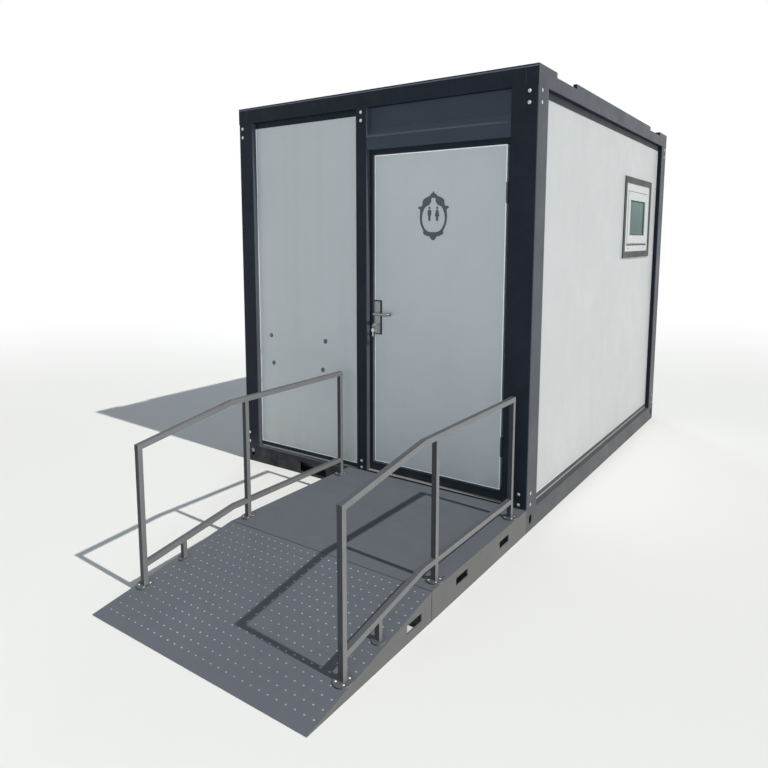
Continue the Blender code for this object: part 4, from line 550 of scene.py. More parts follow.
def addShape(bm, outline, axis, face, out, thick):
    # a flat cut shape of the given thickness on a face
    rows = []
    for w in (face, face + out * thick):
        rows.append([bm.verts.new((w, u, v) if axis == "x" else (u, w, v)) for u, v in outline])
    for k in range(len(outline)):
        j = (k + 1) % len(outline)
        bm.faces.new((rows[0][k], rows[0][j], rows[1][j], rows[1][k]))
    for row in rows:
        bm.faces.new(row)


def addBand(bm, inner, outer, axis, face, out, thick):
    # a closed flat ring between two outlines with the same number of points
    rows = []
    for line in (inner, outer):
        for w in (face, face + out * thick):
            rows.append([bm.verts.new((w, u, v) if axis == "x" else (u, w, v)) for u, v in line])
    for a, b in ((0, 2), (2, 3), (3, 1), (1, 0)):
        for k in range(len(inner)):
            j = (k + 1) % len(inner)
            bm.faces.new((rows[a][k], rows[a][j], rows[b][j], rows[b][k]))


# where the cabin's faces are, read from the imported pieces
def cabinBox(name):
    low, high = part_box(name)
    return Vector((low[0], low[1] - frontY, low[2])), Vector((high[0], high[1] - frontY, high[2]))


panelLow, panelHigh = cabinBox("front_panel")
leafLow, leafHigh = cabinBox("door_leaf")
rearLow, rearHigh = cabinBox("rear_wall_panel")
rightLow, rightHigh = cabinBox("right_wall_panel")
leftLow, leftHigh = cabinBox("left_wall_panel")
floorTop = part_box("floor_panel")[1][2]
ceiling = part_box("roof_panel")[0][2]
deckLow, deckHigh = cabinBox("landing_deck")
rampLow, rampHigh = cabinBox("ramp_deck")
print("tools ready")

# screws that hold the posts to the frames, and the basin's bolts
fixings = {
    "beyondWall": 0.035,                                # the posts' outer face past the wall panels
    "screwRadius": 0.0072,
    "frontHead": 0.0045,
    "flatHead": 0.0005,                                 # side and rear screws lie almost flush
    "frontRows": {-1.058: (2.366, 2.308, 0.211, 0.146), -0.038: (2.374, 2.325, 0.196, 0.153),
                  1.042: (2.369, 2.311, 0.218, 0.158)},
    "rearX": 1.042,
    "sideFromFace": 0.053,
    "sideRows": (2.375, 2.315, 0.218, 0.154),
    "basinBolts": ((-0.854, 0.940), (-0.362, 0.940), (-0.836, 0.745), (-0.386, 0.745)),
    "basinBoltShape": ((0.01575, 0), (0.01575, 0.0015), (0.0105, 0.0016), (0.0105, 0.0075), (0.0084, 0.0090),
                       (0, 0.0092)),
}


def makeFixings(f):
    side, rear = rightHigh.x + f["beyondWall"], rearHigh.y + f["beyondWall"]
    bm = bmesh.new()
    for x, heights in f["frontRows"].items():
        for z in heights:
            addScrew(bm, (x, 0, z), (0, -1, 0), f["screwRadius"], f["frontHead"])
    for x in (-f["rearX"], f["rearX"]):
        for z in f["sideRows"]:
            addScrew(bm, (x, rear, z), (0, 1, 0), f["screwRadius"], f["flatHead"])
    placePiece("post_screws_ends", bm, "zincBolt")
    bm = bmesh.new()
    for x in (-side, side):
        for y in (f["sideFromFace"], rear - f["sideFromFace"]):
            for z in f["sideRows"]:
                addScrew(bm, (x, y, z), (x, 0, 0), f["screwRadius"], f["flatHead"])
    placePiece("post_screws_sides", bm, "zincBolt")
    bm = bmesh.new()
    for x, z in f["basinBolts"]:
        addTurned(bm, f["basinBoltShape"], (x, panelLow.y, z), (0, -1, 0), 18)
    placePiece("basin_bolts", bm, "boltCap")


makeFixings(fixings)
print("fixings made")

# dark channel strips and bright edge lines that hold each wall panel; the top strip is tall enough to take
# in the shade under the roof beam, so it is partly painted shadow
wallTrim = {"channelThick": 0.004, "topHeight": 0.036, "bottomStart": 0.131, "bottomEnd": 0.157,
            "edgeWidth": 0.005, "edgeThick": 0.0025, "sideGap": 0.010}


def trimWall(name, axis, face, out, u0, u1, z1, t, gap):
    # dark strips at top and bottom, and at the sides where there is a gap, with bright lines inside them;
    # the top strip is partly painted shadow
    dark, bright = bmesh.new(), bmesh.new()

    def strip(bm, a, b, c, d, thick):
        w0, w1 = sorted((face, face + out * thick))
        low, high = ((w0, a, b), (w1, c, d)) if axis == "x" else ((a, w0, b), (c, w1, d))
        addBlock(bm, low, high)

    # top strip: the channel plus painted shadow under the roof beam
    strip(dark, u0, z1 - t["topHeight"], u1, z1, t["channelThick"])
    strip(dark, u0, t["bottomStart"], u1, t["bottomEnd"], t["channelThick"])
    if gap:
        strip(dark, u0, t["bottomEnd"], u0 + gap, z1 - t["topHeight"], t["channelThick"])
        strip(dark, u1 - gap, t["bottomEnd"], u1, z1 - t["topHeight"], t["channelThick"])
        u0, u1 = u0 + gap, u1 - gap
    edge = t["edgeWidth"]
    strip(bright, u0, t["bottomEnd"], u1, t["bottomEnd"] + edge, t["edgeThick"])
    strip(bright, u0, t["bottomEnd"] + edge, u0 + edge, z1 - t["topHeight"], t["edgeThick"])
    strip(bright, u1 - edge, t["bottomEnd"] + edge, u1, z1 - t["topHeight"], t["edgeThick"])
    placePiece(name + "_channels_and_painted_shade", dark, "framePaint")
    placePiece(name + "_edge_lines", bright, "softEdge" if gap else "edgeTrimAndHighlight")


for label, axis, face, out, ends, gap in (
        ("front_panel", "y", panelLow.y, -1, (panelLow.x, panelHigh.x), 0),
        ("rear_wall", "y", rearHigh.y, 1, (rearLow.x, rearHigh.x), wallTrim["sideGap"]),
        ("left_wall", "x", leftLow.x, -1, (leftLow.y, leftHigh.y), wallTrim["sideGap"]),
        ("right_wall", "x", rightHigh.x, 1, (rightLow.y, rightHigh.y), wallTrim["sideGap"])):
    trimWall(label, axis, face, out, *ends, panelHigh.z, wallTrim, gap)
print("wall trim made")

# door: seal, bright leaf edge with painted highlight, sign, lock backing with painted shadow, cylinder and
# keys
door = {
    "edgeWidth": 0.006, "edgeThick": 0.0012,
    "sealDeep": 0.006, "sealLatchFrom": 0.0245, "sealLatchTo": 0.0010, "sealHingeFrom": 0.0155,
    "sealHingeTo": 0.0392, "sealFree": 0.0001, "sealLeast": 0.0010, "sealEndGap": 0.0019,
    "sealEndRadius": 0.0014, "sealMiddle": 0.47,
}
# sign: an ornamental ring, right half given, with the two standard figures
sign = {
    "x": 0.451, "thick": 0.0016,
    "outer": [(0, 1.889), (0.006, 1.880), (0.022, 1.868), (0.028, 1.861), (0.040, 1.858), (0.056, 1.850),
              (0.070, 1.838), (0.073, 1.826), (0.074, 1.815), (0.082, 1.803), (0.092, 1.804), (0.103, 1.797),
              (0.098, 1.790), (0.090, 1.785), (0.089, 1.770), (0.091, 1.750), (0.090, 1.725), (0.085, 1.700),
              (0.076, 1.680), (0.069, 1.668), (0.066, 1.660), (0.068, 1.652), (0.060, 1.640), (0.046, 1.636),
              (0.040, 1.630), (0.028, 1.632), (0.020, 1.622), (0.010, 1.612), (0, 1.608)],
    "inner": [(0, 1.851), (0.013, 1.848), (0.014, 1.835), (0.020, 1.822), (0.028, 1.812), (0.040, 1.806),
              (0.055, 1.798), (0.068, 1.775), (0.075, 1.750), (0.076, 1.735), (0.074, 1.712), (0.066, 1.690),
              (0.052, 1.670), (0.035, 1.659), (0.018, 1.655), (0, 1.655)],
    "figureX": (0.425, 0.4766), "figureZ": 1.762, "headUp": 0.032, "headRadius": 0.0070,
    "left": [(-0.013, 0.016), (-0.0065, 0.022), (0.0065, 0.022), (0.013, 0.016), (0.0115, -0.010),
             (0.0075, -0.0115), (0.0065, -0.043), (0.001, -0.043), (0, -0.015), (-0.001, -0.043),
             (-0.0065, -0.043), (-0.0075, -0.0115), (-0.0115, -0.010)],
    "right": [(-0.0075, 0.019), (-0.004, 0.022), (0.004, 0.022), (0.0075, 0.019), (0.0155, -0.0165),
              (0.0075, -0.018), (0.0065, -0.043), (0.001, -0.043), (0, -0.020), (-0.001, -0.043),
              (-0.0065, -0.043), (-0.0075, -0.018), (-0.0155, -0.0165)],
}
lock = {
    "x": 0.0603, "spindleZ": 1.155, "keyZ": 1.085,
    "backingShadowGrow": 0.007, "backingEdge": 0.003, "backingThick": 0.0035,
    "roseShape": ((0.0125, 0), (0.0125, 0.002), (0.0112, 0.0028), (0.0112, 0.0050), (0.0105, 0.0055),
                  (0.0105, 0.0075), (0.009, 0.0082), (0.0052, 0.0082)),
    "screwInset": 0.012, "screwRadius": 0.0036, "screwHead": 0.0018,
    "cylinderShape": ((0.0112, 0), (0.0112, 0.0035), (0.0100, 0.0048), (0.0100, 0.0060), (0.0046, 0.0062),
                      (0.0046, 0.0055)),
    "cylinderLong": 0.0062,
}
# keys: one in the cylinder, a spare hanging from its ring; lengths are from the cylinder's outer end
keys = {
    "shankOut": 0.020, "shankIn": 0.004, "shankHalf": (0.0011, 0.0042),
    "bowOut": 0.031, "bow": (0.0125, 0.0115), "holeOut": 0.036, "hole": 0.0035, "thick": 0.0024,
    "ringRadius": 0.0095, "ringSway": 0.003, "ringWire": 0.0008,
    "spareDown": 0.030, "spareSide": 0.004, "spareBow": (0.0115, 0.0125), "spareHoleUp": 0.007,
    "spareOut": 0.0372, "spareThick": 0.0022,
    "spareShankX": (-0.008, -0.001), "spareShankOut": (0.0370, 0.0352), "spareShankDown": (0.040, 0.011),
    "steps": 24,
}


def softOutline(curve, points):
    # one closed smooth loop through the points, mirrored about x = 0
    full = points + [(-x, z) for x, z in points[-2:0:-1]]
    line = curve.splines.new("BEZIER")
    line.bezier_points.add(len(full) - 1)
    for knot, (x, z) in zip(line.bezier_points, full):
        knot.co = (x, z, 0)
        knot.handle_left_type = knot.handle_right_type = "AUTO"
    line.use_cyclic_u = True
    line.resolution_u = 4


def makeSign(s):
    face = leafLow.y
    curve = bpy.data.curves.new("doorSignRing", "CURVE")
    curve.dimensions = "2D"
    curve.fill_mode = "BOTH"
    curve.extrude = s["thick"] / 2
    softOutline(curve, s["outer"])
    softOutline(curve, s["inner"])
    holder = bpy.data.objects.new("doorSignRing", curve)
    flat = bpy.data.meshes.new_from_object(holder)
    bpy.data.objects.remove(holder)
    bm = bmesh.new()
    bm.from_mesh(flat)
    bmesh.ops.remove_doubles(bm, verts=bm.verts, dist=1e-6)
    stand = Matrix.Translation((s["x"], face - s["thick"] / 2, 0)) @ Matrix.Rotation(pi / 2, 4, "X")
    bmesh.ops.transform(bm, matrix=stand, verts=bm.verts)
    for u, outline in zip(s["figureX"], (s["left"], s["right"])):
        head = roundOutline(u, s["figureZ"] + s["headUp"], s["headRadius"], s["headRadius"])
        addShape(bm, [(u + x, s["figureZ"] + z) for x, z in outline], "y", face, -1, s["thick"])
        addShape(bm, head, "y", face, -1, s["thick"])
    placePiece("door_sign", bm, "signDark", "door", smooth=False)


def roundOutline(u, v, a, b, steps=20):
    return [(u + a * cos(2 * pi * k / steps), v + b * sin(2 * pi * k / steps)) for k in range(steps)]


def makeDoorTrim(d):
    bm = bmesh.new()
    leaf = (leafLow.x, leafLow.z, leafHigh.x, leafHigh.z)
    for face, out in ((leafLow.y, -1), (leafHigh.y, 1)):
        addFrame(bm, "y", face, out, *leaf, d["edgeWidth"], d["edgeThick"])
    # the leaf's edge lines, near white as painted highlight
    placePiece("door_edge_lines", bm, "edgeTrimAndHighlight", "door")
    low, high = cabinBox("door_frame")
    bm = bmesh.new()
    y = leafLow.y + d["sealDeep"]
    bottom, top = leafLow.z, leafHigh.z
    for a, b in ((low.x + d["sealLatchFrom"], leafLow.x - d["sealLatchTo"]),
                 (leafHigh.x + d["sealHingeFrom"], high.x - d["sealHingeTo"])):
        x = (a + b) / 2
        radius = max(abs(b - a) / 2 - d["sealFree"], d["sealLeast"])
        addTube(bm, [(x, y, bottom), (x, y, (bottom + top) / 2), (x, y, top)], radius, 8)
    for z in (top + d["sealEndGap"], bottom - d["sealEndGap"]):
        addTube(bm, [(leafLow.x, y, z), (d["sealMiddle"], y, z), (leafHigh.x, y, z)], d["sealEndRadius"], 8)
    placePiece("door_seal", bm, "darkRubber")


def makeLock(d):
    low, high = cabinBox("lock_plate_outer")
    # a dark backing round the lock plate, 3 mm at the left and wider elsewhere; the wider margin is painted
    # shadow of the plate
    grow = d["backingShadowGrow"]
    bm = bmesh.new()
    x0, x1, z0, z1 = low.x - d["backingEdge"], high.x + grow, low.z - grow, high.z + grow
    inner = [(low.x, low.z), (high.x, low.z), (high.x, high.z), (low.x, high.z)]
    addBand(bm, inner, [(x0, z0), (x1, z0), (x1, z1), (x0, z1)], "y", leafLow.y, -1, d["backingThick"])
    placePiece("lock_backing_and_shadow", bm, "framePaint", "door", smooth=False)
    bm = bmesh.new()
    addTurned(bm, d["roseShape"], (d["x"], low.y, d["spindleZ"]), (0, -1, 0), 28)
    for z in (low.z + d["screwInset"], high.z - d["screwInset"]):
        addScrew(bm, (d["x"], low.y, z), (0, -1, 0), d["screwRadius"], d["screwHead"])
    placePiece("lever_rose", bm, "lockSteel", "door")
    bm = bmesh.new()
    addTurned(bm, d["cylinderShape"], (d["x"], low.y, d["keyZ"]), (0, -1, 0), 24)
    placePiece("key_cylinder", bm, "lockSteel", "door")


def makeKeys(d, k):
    x, z = d["x"], d["keyZ"]
    tip = cabinBox("lock_plate_outer")[0].y - d["cylinderLong"]
    bm = bmesh.new()
    wide, tall = k["shankHalf"]
    addBlock(bm, (x - wide, tip - k["shankOut"], z - tall), (x + wide, tip + k["shankIn"], z + tall), 0.0004)
    bow = roundOutline(tip - k["bowOut"], z, *k["bow"], k["steps"])
    hole = roundOutline(tip - k["holeOut"], z, k["hole"], k["hole"], k["steps"])
    addBand(bm, hole, bow, "x", x - k["thick"] / 2, 1, k["thick"])
    r = k["ringRadius"]
    turns = [2 * pi * i / k["steps"] for i in range(k["steps"])]
    ring = [(x + r * cos(a), tip - k["holeOut"] - k["ringSway"] * sin(a), z - r + r * sin(a)) for a in turns]
    addTube(bm, ring, k["ringWire"], 6, closed=True)
    spare = z - k["spareDown"]
    side = x - k["spareSide"]
    bow = roundOutline(side, spare, *k["spareBow"], k["steps"])
    hole = roundOutline(side, spare + k["spareHoleUp"], k["hole"], k["hole"], k["steps"])
    addBand(bm, hole, bow, "y", tip - k["spareOut"], 1, k["spareThick"])
    (x0, x1), (y0, y1), (z0, z1) = k["spareShankX"], k["spareShankOut"], k["spareShankDown"]
    addBlock(bm, (x + x0, tip - y0, spare - z0), (x + x1, tip - y1, spare - z1), 0.0003)
    placePiece("door_keys", bm, "zincBolt", "turn")


makeDoorTrim(door)
makeSign(sign)
makeLock(lock)
makeKeys(lock, keys)
print("door dressed")

# deck: grip marks on the ramp, seam, drain holes, foot screws and welds
deck = {
    "firstX": 0.423, "stepX": 0.043, "firstDown": 0.602, "stepDown": 0.0475, "edgeMargin": 0.018,
    "marksAside": 20, "marksUp": 16, "marksDown": 8,
    "markLong": 0.0048, "markWide": 0.0034, "markHigh": 0.0013, "markShape": ((0.72, 0.65), (0.30, 1)),
    "sink": 0.0002,                                     # how far trim dips into the plate below it
    "seamWidth": 0.0045, "seamHigh": 0.0003, "seamFrom": 0.012, "seamBelowTop": 0.004, "seamInset": 0.002,
    "doorSeam": (-0.004, -0.0005), "doorSeamEnd": 0.9646,
    "holes": ((1.069, -0.877), (-0.108, -0.873), (-0.120, -0.982)), "holeRadius": 0.0055,
    "sillNose": 0.0262, "sillX": (0.0070, 0.9412), "sillY": (0.0006, 0.0290), "sillThick": 0.0012,
}
rail = {
    "x": (1.052, -0.102), "half": 0.0125, "stubHalf": 0.0105,
    "levelPosts": (-0.138, -0.929), "slopePosts": (-1.573,), "stubY": -1.350,
    "footRadius": 0.038, "stubFootRadius": 0.0285, "footThick": 0.006, "lift": 0.0003,
    "screwFromPost": 0.0180, "screwRadius": 0.0036, "screwHead": 0.0022, "weld": 0.0022, "weldUp": 0.0006,
}
slopeTop = Vector((0, rampHigh.y, rampHigh.z))
slopeToe = Vector((0, rampLow.y, 0.003))
slopeWay = (slopeToe - slopeTop).normalized()
slopeUp = Vector((0, slopeWay.z, -slopeWay.y))


def onSlope(x, down, lift=0.0):
    return Vector((x, 0, 0)) + slopeTop + slopeWay * down + slopeUp * lift


def downAt(y):
    return (y - slopeTop.y) / slopeWay.y


def addMark(bm, centre, d, sides=8):
    # a low pressed bead, longer across the ramp than along it
    levels = [(1, -d["sink"])] + [(share, d["markHigh"] * high) for share, high in d["markShape"]]
    turns = [2 * pi * k / sides for k in range(sides)]
    rows = []
    for share, lift in levels:
        along, aside = d["markWide"] * share, d["markLong"] * share
        rows.append([bm.verts.new(centre + Vector((aside * cos(a), 0, 0)) + slopeWay * (along * sin(a))
                                  + slopeUp * lift) for a in turns])
    for low, high in zip(rows, rows[1:]):
        for k in range(sides):
            bm.faces.new((low[k], low[(k + 1) % sides], high[(k + 1) % sides], high[k]))
    bm.faces.new(rows[0][::-1])
    bm.faces.new(rows[-1])


def makeGripMarks(d, r):
    length = (slopeToe - slopeTop).length
    margin = d["edgeMargin"]
    feet = [(x, downAt(y), radius) for x in r["x"]
            for y, radius in ((r["slopePosts"][0], r["footRadius"]), (r["stubY"], r["stubFootRadius"]))]
    bm = bmesh.new()
    for i in range(-d["marksAside"], d["marksAside"] + 1):
        x = d["firstX"] + d["stepX"] * i
        if not rampLow.x + margin < x < rampHigh.x - margin:
            continue
        for j in range(-d["marksUp"], d["marksDown"]):
            down = d["firstDown"] + d["stepDown"] * j
            if not margin < down < length - margin:
                continue
            if all(hypot(x - fx, down - fd) > radius + d["markLong"] for fx, fd, radius in feet):
                addMark(bm, onSlope(x, down), d)
    placePiece("ramp_grip_marks", bm, "dotMetal")


def makeDeckTrim(d):
    bm = bmesh.new()
    half, thick, sink = d["seamWidth"] / 2, d["seamHigh"], d["sink"]
    y, top = deckLow.y, deckHigh.z
    addBlock(bm, (deckLow.x, y, top - sink), (deckHigh.x, y + 2 * half, top + thick), 0)
    for x0, x1 in ((deckHigh.x - sink, deckHigh.x + thick), (deckLow.x - thick, deckLow.x + sink)):
        addBlock(bm, (x0, y - half, d["seamFrom"]), (x1, y + half, top - d["seamBelowTop"]), 0)
    y0, y1 = d["doorSeam"]
    addBlock(bm, (deckLow.x + d["seamInset"], y0, top - sink), (d["doorSeamEnd"], y1, top + thick), 0)
    for x, hy in d["holes"]:
        r = d["holeRadius"]
        addTurned(bm, [(r, -sink), (r, thick), (0, thick)], (x, hy, top), (0, 0, 1), 14)
    placePiece("deck_seams", bm, "darkRubber", smooth=False)
    (x0, x1), (y0, y1), sill = d["sillX"], d["sillY"], panelLow.z + d["sillNose"]
    bm = bmesh.new()
    addBlock(bm, (x0, y0, sill), (x1, y1, sill + d["sillThick"]), 0.0004)
    placePiece("sill_plate", bm, "sillMetal")


def makeRailFeet(r):
    screws, welds = bmesh.new(), bmesh.new()
    lift = r["footThick"] + r["lift"]
    across, flatAhead, flatUp = Vector((1, 0, 0)), Vector((0, 1, 0)), Vector((0, 0, 1))
    spots = []
    for x in r["x"]:
        for y in r["levelPosts"]:
            spots.append((Vector((x, y, deckHigh.z + lift)), flatAhead, flatUp, r["half"], True))
        for y in r["slopePosts"]:
            spots.append((onSlope(x, downAt(y)) + flatUp * lift, -slopeWay, slopeUp, r["half"], True))
        stub = onSlope(x, downAt(r["stubY"])) + flatUp * lift
        spots.append((stub, -slopeWay, slopeUp, r["stubHalf"], False))
    for centre, ahead, up, half, screwed in spots:
        if screwed:
            for a, b in ((1, 1), (1, -1), (-1, 1), (-1, -1)):
                at = centre + across * (a * r["screwFromPost"]) + ahead * (b * r["screwFromPost"])
                addScrew(screws, at, up, r["screwRadius"], r["screwHead"])
        corners = [centre + across * (a * half) + ahead * (b * half) + up * r["weldUp"]
                   for a, b in ((1, 1), (0, 1), (-1, 1), (-1, 0), (-1, -1), (0, -1), (1, -1), (1, 0))]
        addTube(welds, corners, r["weld"], 6, closed=True)
    placePiece("rail_foot_screws", screws, "zincBolt")
    placePiece("rail_foot_welds", welds, "railPaint")


makeGripMarks(deck, rail)
makeDeckTrim(deck)
makeRailFeet(rail)
print("deck dressed")

# window: glazing gasket, sealant round the trim, drain slots, and a dark strip that is painted shade of the
# gap under the sash
window = {
    "gasketIn": 0.062, "gasketWidth": 0.005, "gasketThick": 0.003, "gasketLift": 0.0002,
    "bead": 0.003, "beadOut": 0.0014,
    "drainInset": 0.10, "drainLength": 0.026, "drainUp": 0.022, "drainHeight": 0.004,
    # strip: a dark strip that is painted shade of the gap under the sash
    "stripFrom": 0.050, "stripTo": 0.042, "stripUp": 0.046, "stripHigh": 0.009,
    "capSink": 0.0005, "capOut": 0.0012,
}


def makeWindowTrim(w):
    low, high = cabinBox("window_sash")
    glassFace = cabinBox("window_glass")[1].x
    inset = w["gasketIn"]
    bm = bmesh.new()
    opening = (low.y + inset, low.z + inset, high.y - inset, high.z - inset)
    addFrame(bm, "x", glassFace + w["gasketLift"], 1, *opening, w["gasketWidth"], w["gasketThick"])
    placePiece("window_gasket", bm, "darkRubber", "sash")
    low, high = cabinBox("window_trim")
    bm = bmesh.new()
    r, x = w["bead"], rightHigh.x + w["beadOut"]
    addTube(bm, [(x, low.y - r, low.z - r), (x, high.y + r, low.z - r), (x, high.y + r, high.z + r),
                 (x, low.y - r, high.z + r)], r, 8, closed=True)
    placePiece("window_sealant", bm, "softEdge")
    low, high = cabinBox("window_frame")
    x0, x1 = high.x - w["capSink"], high.x + w["capOut"]
    bm = bmesh.new()
    z = low.z + w["drainUp"]
    for y in (low.y + w["drainInset"], high.y - w["drainInset"] - w["drainLength"]):
        addBlock(bm, (x0, y, z), (x1, y + w["drainLength"], z + w["drainHeight"]), 0.0004)
    # dark strip along the frame under the sash: painted shade of the gap there
    z = low.z + w["stripUp"]
    addBlock(bm, (x0, low.y + w["stripFrom"], z), (x1, high.y - w["stripTo"], z + w["stripHigh"]), 0.0004)
    placePiece("window_drain_caps_and_gap_shade", bm, "darkRubber")


makeWindowTrim(window)

# roof: beam seams, drip lip, rib screws
roof = {
    "seamX": 1.0197, "seamY": 0.255, "seamWidth": 0.003, "seamHigh": 0.0003, "seamSink": 0.0002,
    "seamEnd": 0.003, "sideSeamTop": 0.030,
    "lipHeight": 0.007, "lipThick": 0.001, "lipBelowTop": 0.014, "lipInset": 0.001, "lipSink": 0.0002,
    "ribs": 6, "ribFromSide": 0.167,
    "ribScrews": 7, "screwInset": 0.20, "screwRadius": 0.0055, "screwHead": 0.0030,
}


def makeRoofTrim(r):
    low, high = cabinBox("roof_beam_front")
    half, thick, sink = r["seamWidth"] / 2, r["seamHigh"], r["seamSink"]
    rear = cabinBox("roof_beam_rear")[1].y
    z0, z1 = low.z + r["seamEnd"], high.z - r["seamEnd"]
    bm = bmesh.new()
    for x in (-r["seamX"], r["seamX"]):
        addBlock(bm, (x - half, -thick, z0), (x + half, sink, z1), 0)
        addBlock(bm, (x - half, rear - sink, z0), (x + half, rear + thick, z1), 0)
    side = cabinBox("roof_side_right")[1]
    for y in (r["seamY"], side.y - r["seamY"]):
        for x in (-side.x, side.x):
            addBlock(bm, (x - thick, y - half, z0), (x + thick, y + half, side.z - r["sideSeamTop"]), 0)
    placePiece("roof_seams", bm, "darkRubber", smooth=False)
    bm = bmesh.new()
    z, end = high.z - r["lipBelowTop"], side.x - r["lipInset"]
    addBlock(bm, (-end, -r["lipThick"], z), (end, r["lipSink"], z + r["lipHeight"]), 0.0003)
    placePiece("roof_drip_lip", bm, "lipPaint")

    top = cabinBox("roof_panel")[1].z
    bm = bmesh.new()
    span = 2 * (side.x - r["ribFromSide"])
    for i in range(r["ribs"]):
        x = span * (i / (r["ribs"] - 1) - 0.5)
        for k in range(r["ribScrews"]):
            y = r["screwInset"] + (side.y - 2 * r["screwInset"]) * k / (r["ribScrews"] - 1)
            addScrew(bm, (x, y, top), (0, 0, 1), r["screwRadius"], r["screwHead"])
    placePiece("roof_rib_screws", bm, "zincBolt")


makeRoofTrim(roof)
print("window and roof dressed")

# room: skirting, ceiling cove, corner strips, cable duct, light rim, threshold
room = {
    "skirtHeight": 0.060, "skirtThick": 0.008, "skirtEase": 0.002, "doorGap": 0.002, "panGap": 0.004,
    "coveHeight": 0.030, "cornerWidth": 0.028, "cornerThick": 0.004,
    "ductWidth": 0.016, "ductDeep": 0.010, "ductGap": 0.001, "ductToLight": 0.012,
    "rimShape": ((0.001, 0), (0.010, 0), (0.010, -0.008), (0.005, -0.012), (0.001, -0.012)), "rimSides": 48,
    "stripFrom": 0.03, "stripTo": 0.05, "stripDeep": 0.075, "stripLift": 0.0004, "stripLow": 0.0002,
    "stripHigh": 0.0022, "stripEase": 0.0006, "stripScrews": 5, "screwFrom": 0.09, "screwSpread": 0.20,
    "screwDeep": 0.055, "screwRadius": 0.004, "screwHead": 0.0016,
}


def makeSkirting(r):
    x0, x1, y0, y1 = leftHigh.x, rightLow.x, panelHigh.y, rearLow.y
    pan = cabinBox("toilet_pan")
    thick, tall, ease = r["skirtThick"], floorTop + r["skirtHeight"], r["skirtEase"]
    bm = bmesh.new()
    for a, b, c, e in ((x0, y0, x0 + thick, y1),
                       (x1 - thick, y0 + r["doorGap"], x1, y1),
                       (x0 + thick, y1 - thick, pan[0].x - r["panGap"], y1),
                       (pan[1].x + r["panGap"], y1 - thick, x1 - thick, y1),
                       (x0 + thick, y0, panelHigh.x, y0 + thick)):
        addBlock(bm, (a, b, floorTop), (c, e, tall), ease)
    placePiece("room_skirting", bm, "boltCap")
    cove = ceiling - r["coveHeight"]
    bm = bmesh.new()
    for a, b, c, e in ((x0, y0, x0 + thick, y1), (x1 - thick, y0, x1, y1),
                       (x0 + thick, y1 - thick, x1 - thick, y1)):
        addBlock(bm, (a, b, cove), (c, e, ceiling), ease)
    wide, flat = r["cornerWidth"], r["cornerThick"]
    for x, dx in ((x0, 1), (x1, -1)):
        for y, dy in ((y0, 1), (y1, -1)):
            for (a, b), (c, e) in (((x, x + dx * wide), (y, y + dy * flat)),
                                   ((x, x + dx * flat), (y + dy * flat, y + dy * wide))):
                addBlock(bm, (min(a, b), min(c, e), tall), (max(a, b), max(c, e), cove), 0.001)
    placePiece("room_corner_trim", bm, "softEdge")


def makeDuct(r):
    # from the switch up the wall, along the cove and across the ceiling to the light
    plate = cabinBox("switch_plate")
    light = cabinBox("ceiling_light")
    middle = (plate[0].y + plate[1].y) / 2
    lamp = (light[0].y + light[1].y) / 2
    wall, thick, ease = rightLow.x, r["skirtThick"], r["skirtEase"]
    deep, half, gap = r["ductDeep"], r["ductWidth"] / 2, r["ductGap"]
    inner, outer, cove = wall - thick - deep, wall - thick, ceiling - r["coveHeight"]
    bm = bmesh.new()
    addBlock(bm, (wall - deep, middle - half, plate[1].z + gap), (wall, middle + half, cove), ease)
    addBlock(bm, (inner, middle - half, cove - gap), (outer, middle + half, ceiling - gap), 0.001)
    addBlock(bm, (inner, middle + half, ceiling - 2 * half), (outer, lamp - half, ceiling), ease)
    end = light[1].x + r["ductToLight"]
    addBlock(bm, (end, lamp - half, ceiling - deep), (outer, lamp + half, ceiling), ease)
    placePiece("cable_duct", bm, "whitePlastic")
    bm = bmesh.new()
    radius = (light[1].x - light[0].x) / 2
    section = [(radius + wide, high) for wide, high in r["rimShape"]]
    addLoop(bm, section, (0, lamp, ceiling), "z", r["rimSides"])
    placePiece("light_rim", bm, "whitePlastic")


def addLoop(bm, section, centre, axis, sides):
    # a closed ring turned about an axis from a closed section of (radius, height) points
    x, y, z = centre
    rows = []
    for radius, height in section:
        turns = [(radius * cos(2 * pi * k / sides), radius * sin(2 * pi * k / sides)) for k in range(sides)]
        if axis == "z":
            rows.append([bm.verts.new((x + u, y + v, z + height)) for u, v in turns])
        else:
            rows.append([bm.verts.new((x + u, y + height, z + v)) for u, v in turns])
    for low, high in zip(rows, rows[1:] + rows[:1]):
        for k in range(sides):
            bm.faces.new((low[k], low[(k + 1) % sides], high[(k + 1) % sides], high[k]))


def makeThreshold(r):
    low, high = cabinBox("door_frame")
    top = floorTop + r["stripHigh"]
    bm = bmesh.new()
    addBlock(bm, (low.x + r["stripFrom"], high.y + r["stripLift"], floorTop + r["stripLow"]),
             (high.x - r["stripTo"], high.y + r["stripDeep"], top), r["stripEase"])
    for k in range(r["stripScrews"]):
        x = low.x + r["screwFrom"] + (high.x - low.x - r["screwSpread"]) * k / (r["stripScrews"] - 1)
        addScrew(bm, (x, high.y + r["screwDeep"], top), (0, 0, 1), r["screwRadius"], r["screwHead"])
    placePiece("threshold_strip", bm, "brushedSteel")


def bentTube(bm, points, radius, bend, sides=14, steps=6):
    # a pipe whose corners are rounded
    path = [Vector(points[0])]
    for before, at, after in zip(points, points[1:], points[2:]):
        before, at, after = Vector(before), Vector(at), Vector(after)
        start = at + (before - at).normalized() * bend
        end = at + (after - at).normalized() * bend
        for k in range(steps + 1):
            s = k / steps
            path.append(start * (1 - s) ** 2 + at * 2 * s * (1 - s) + end * s * s)
    path.append(Vector(points[-1]))
    addTube(bm, path, radius, sides)


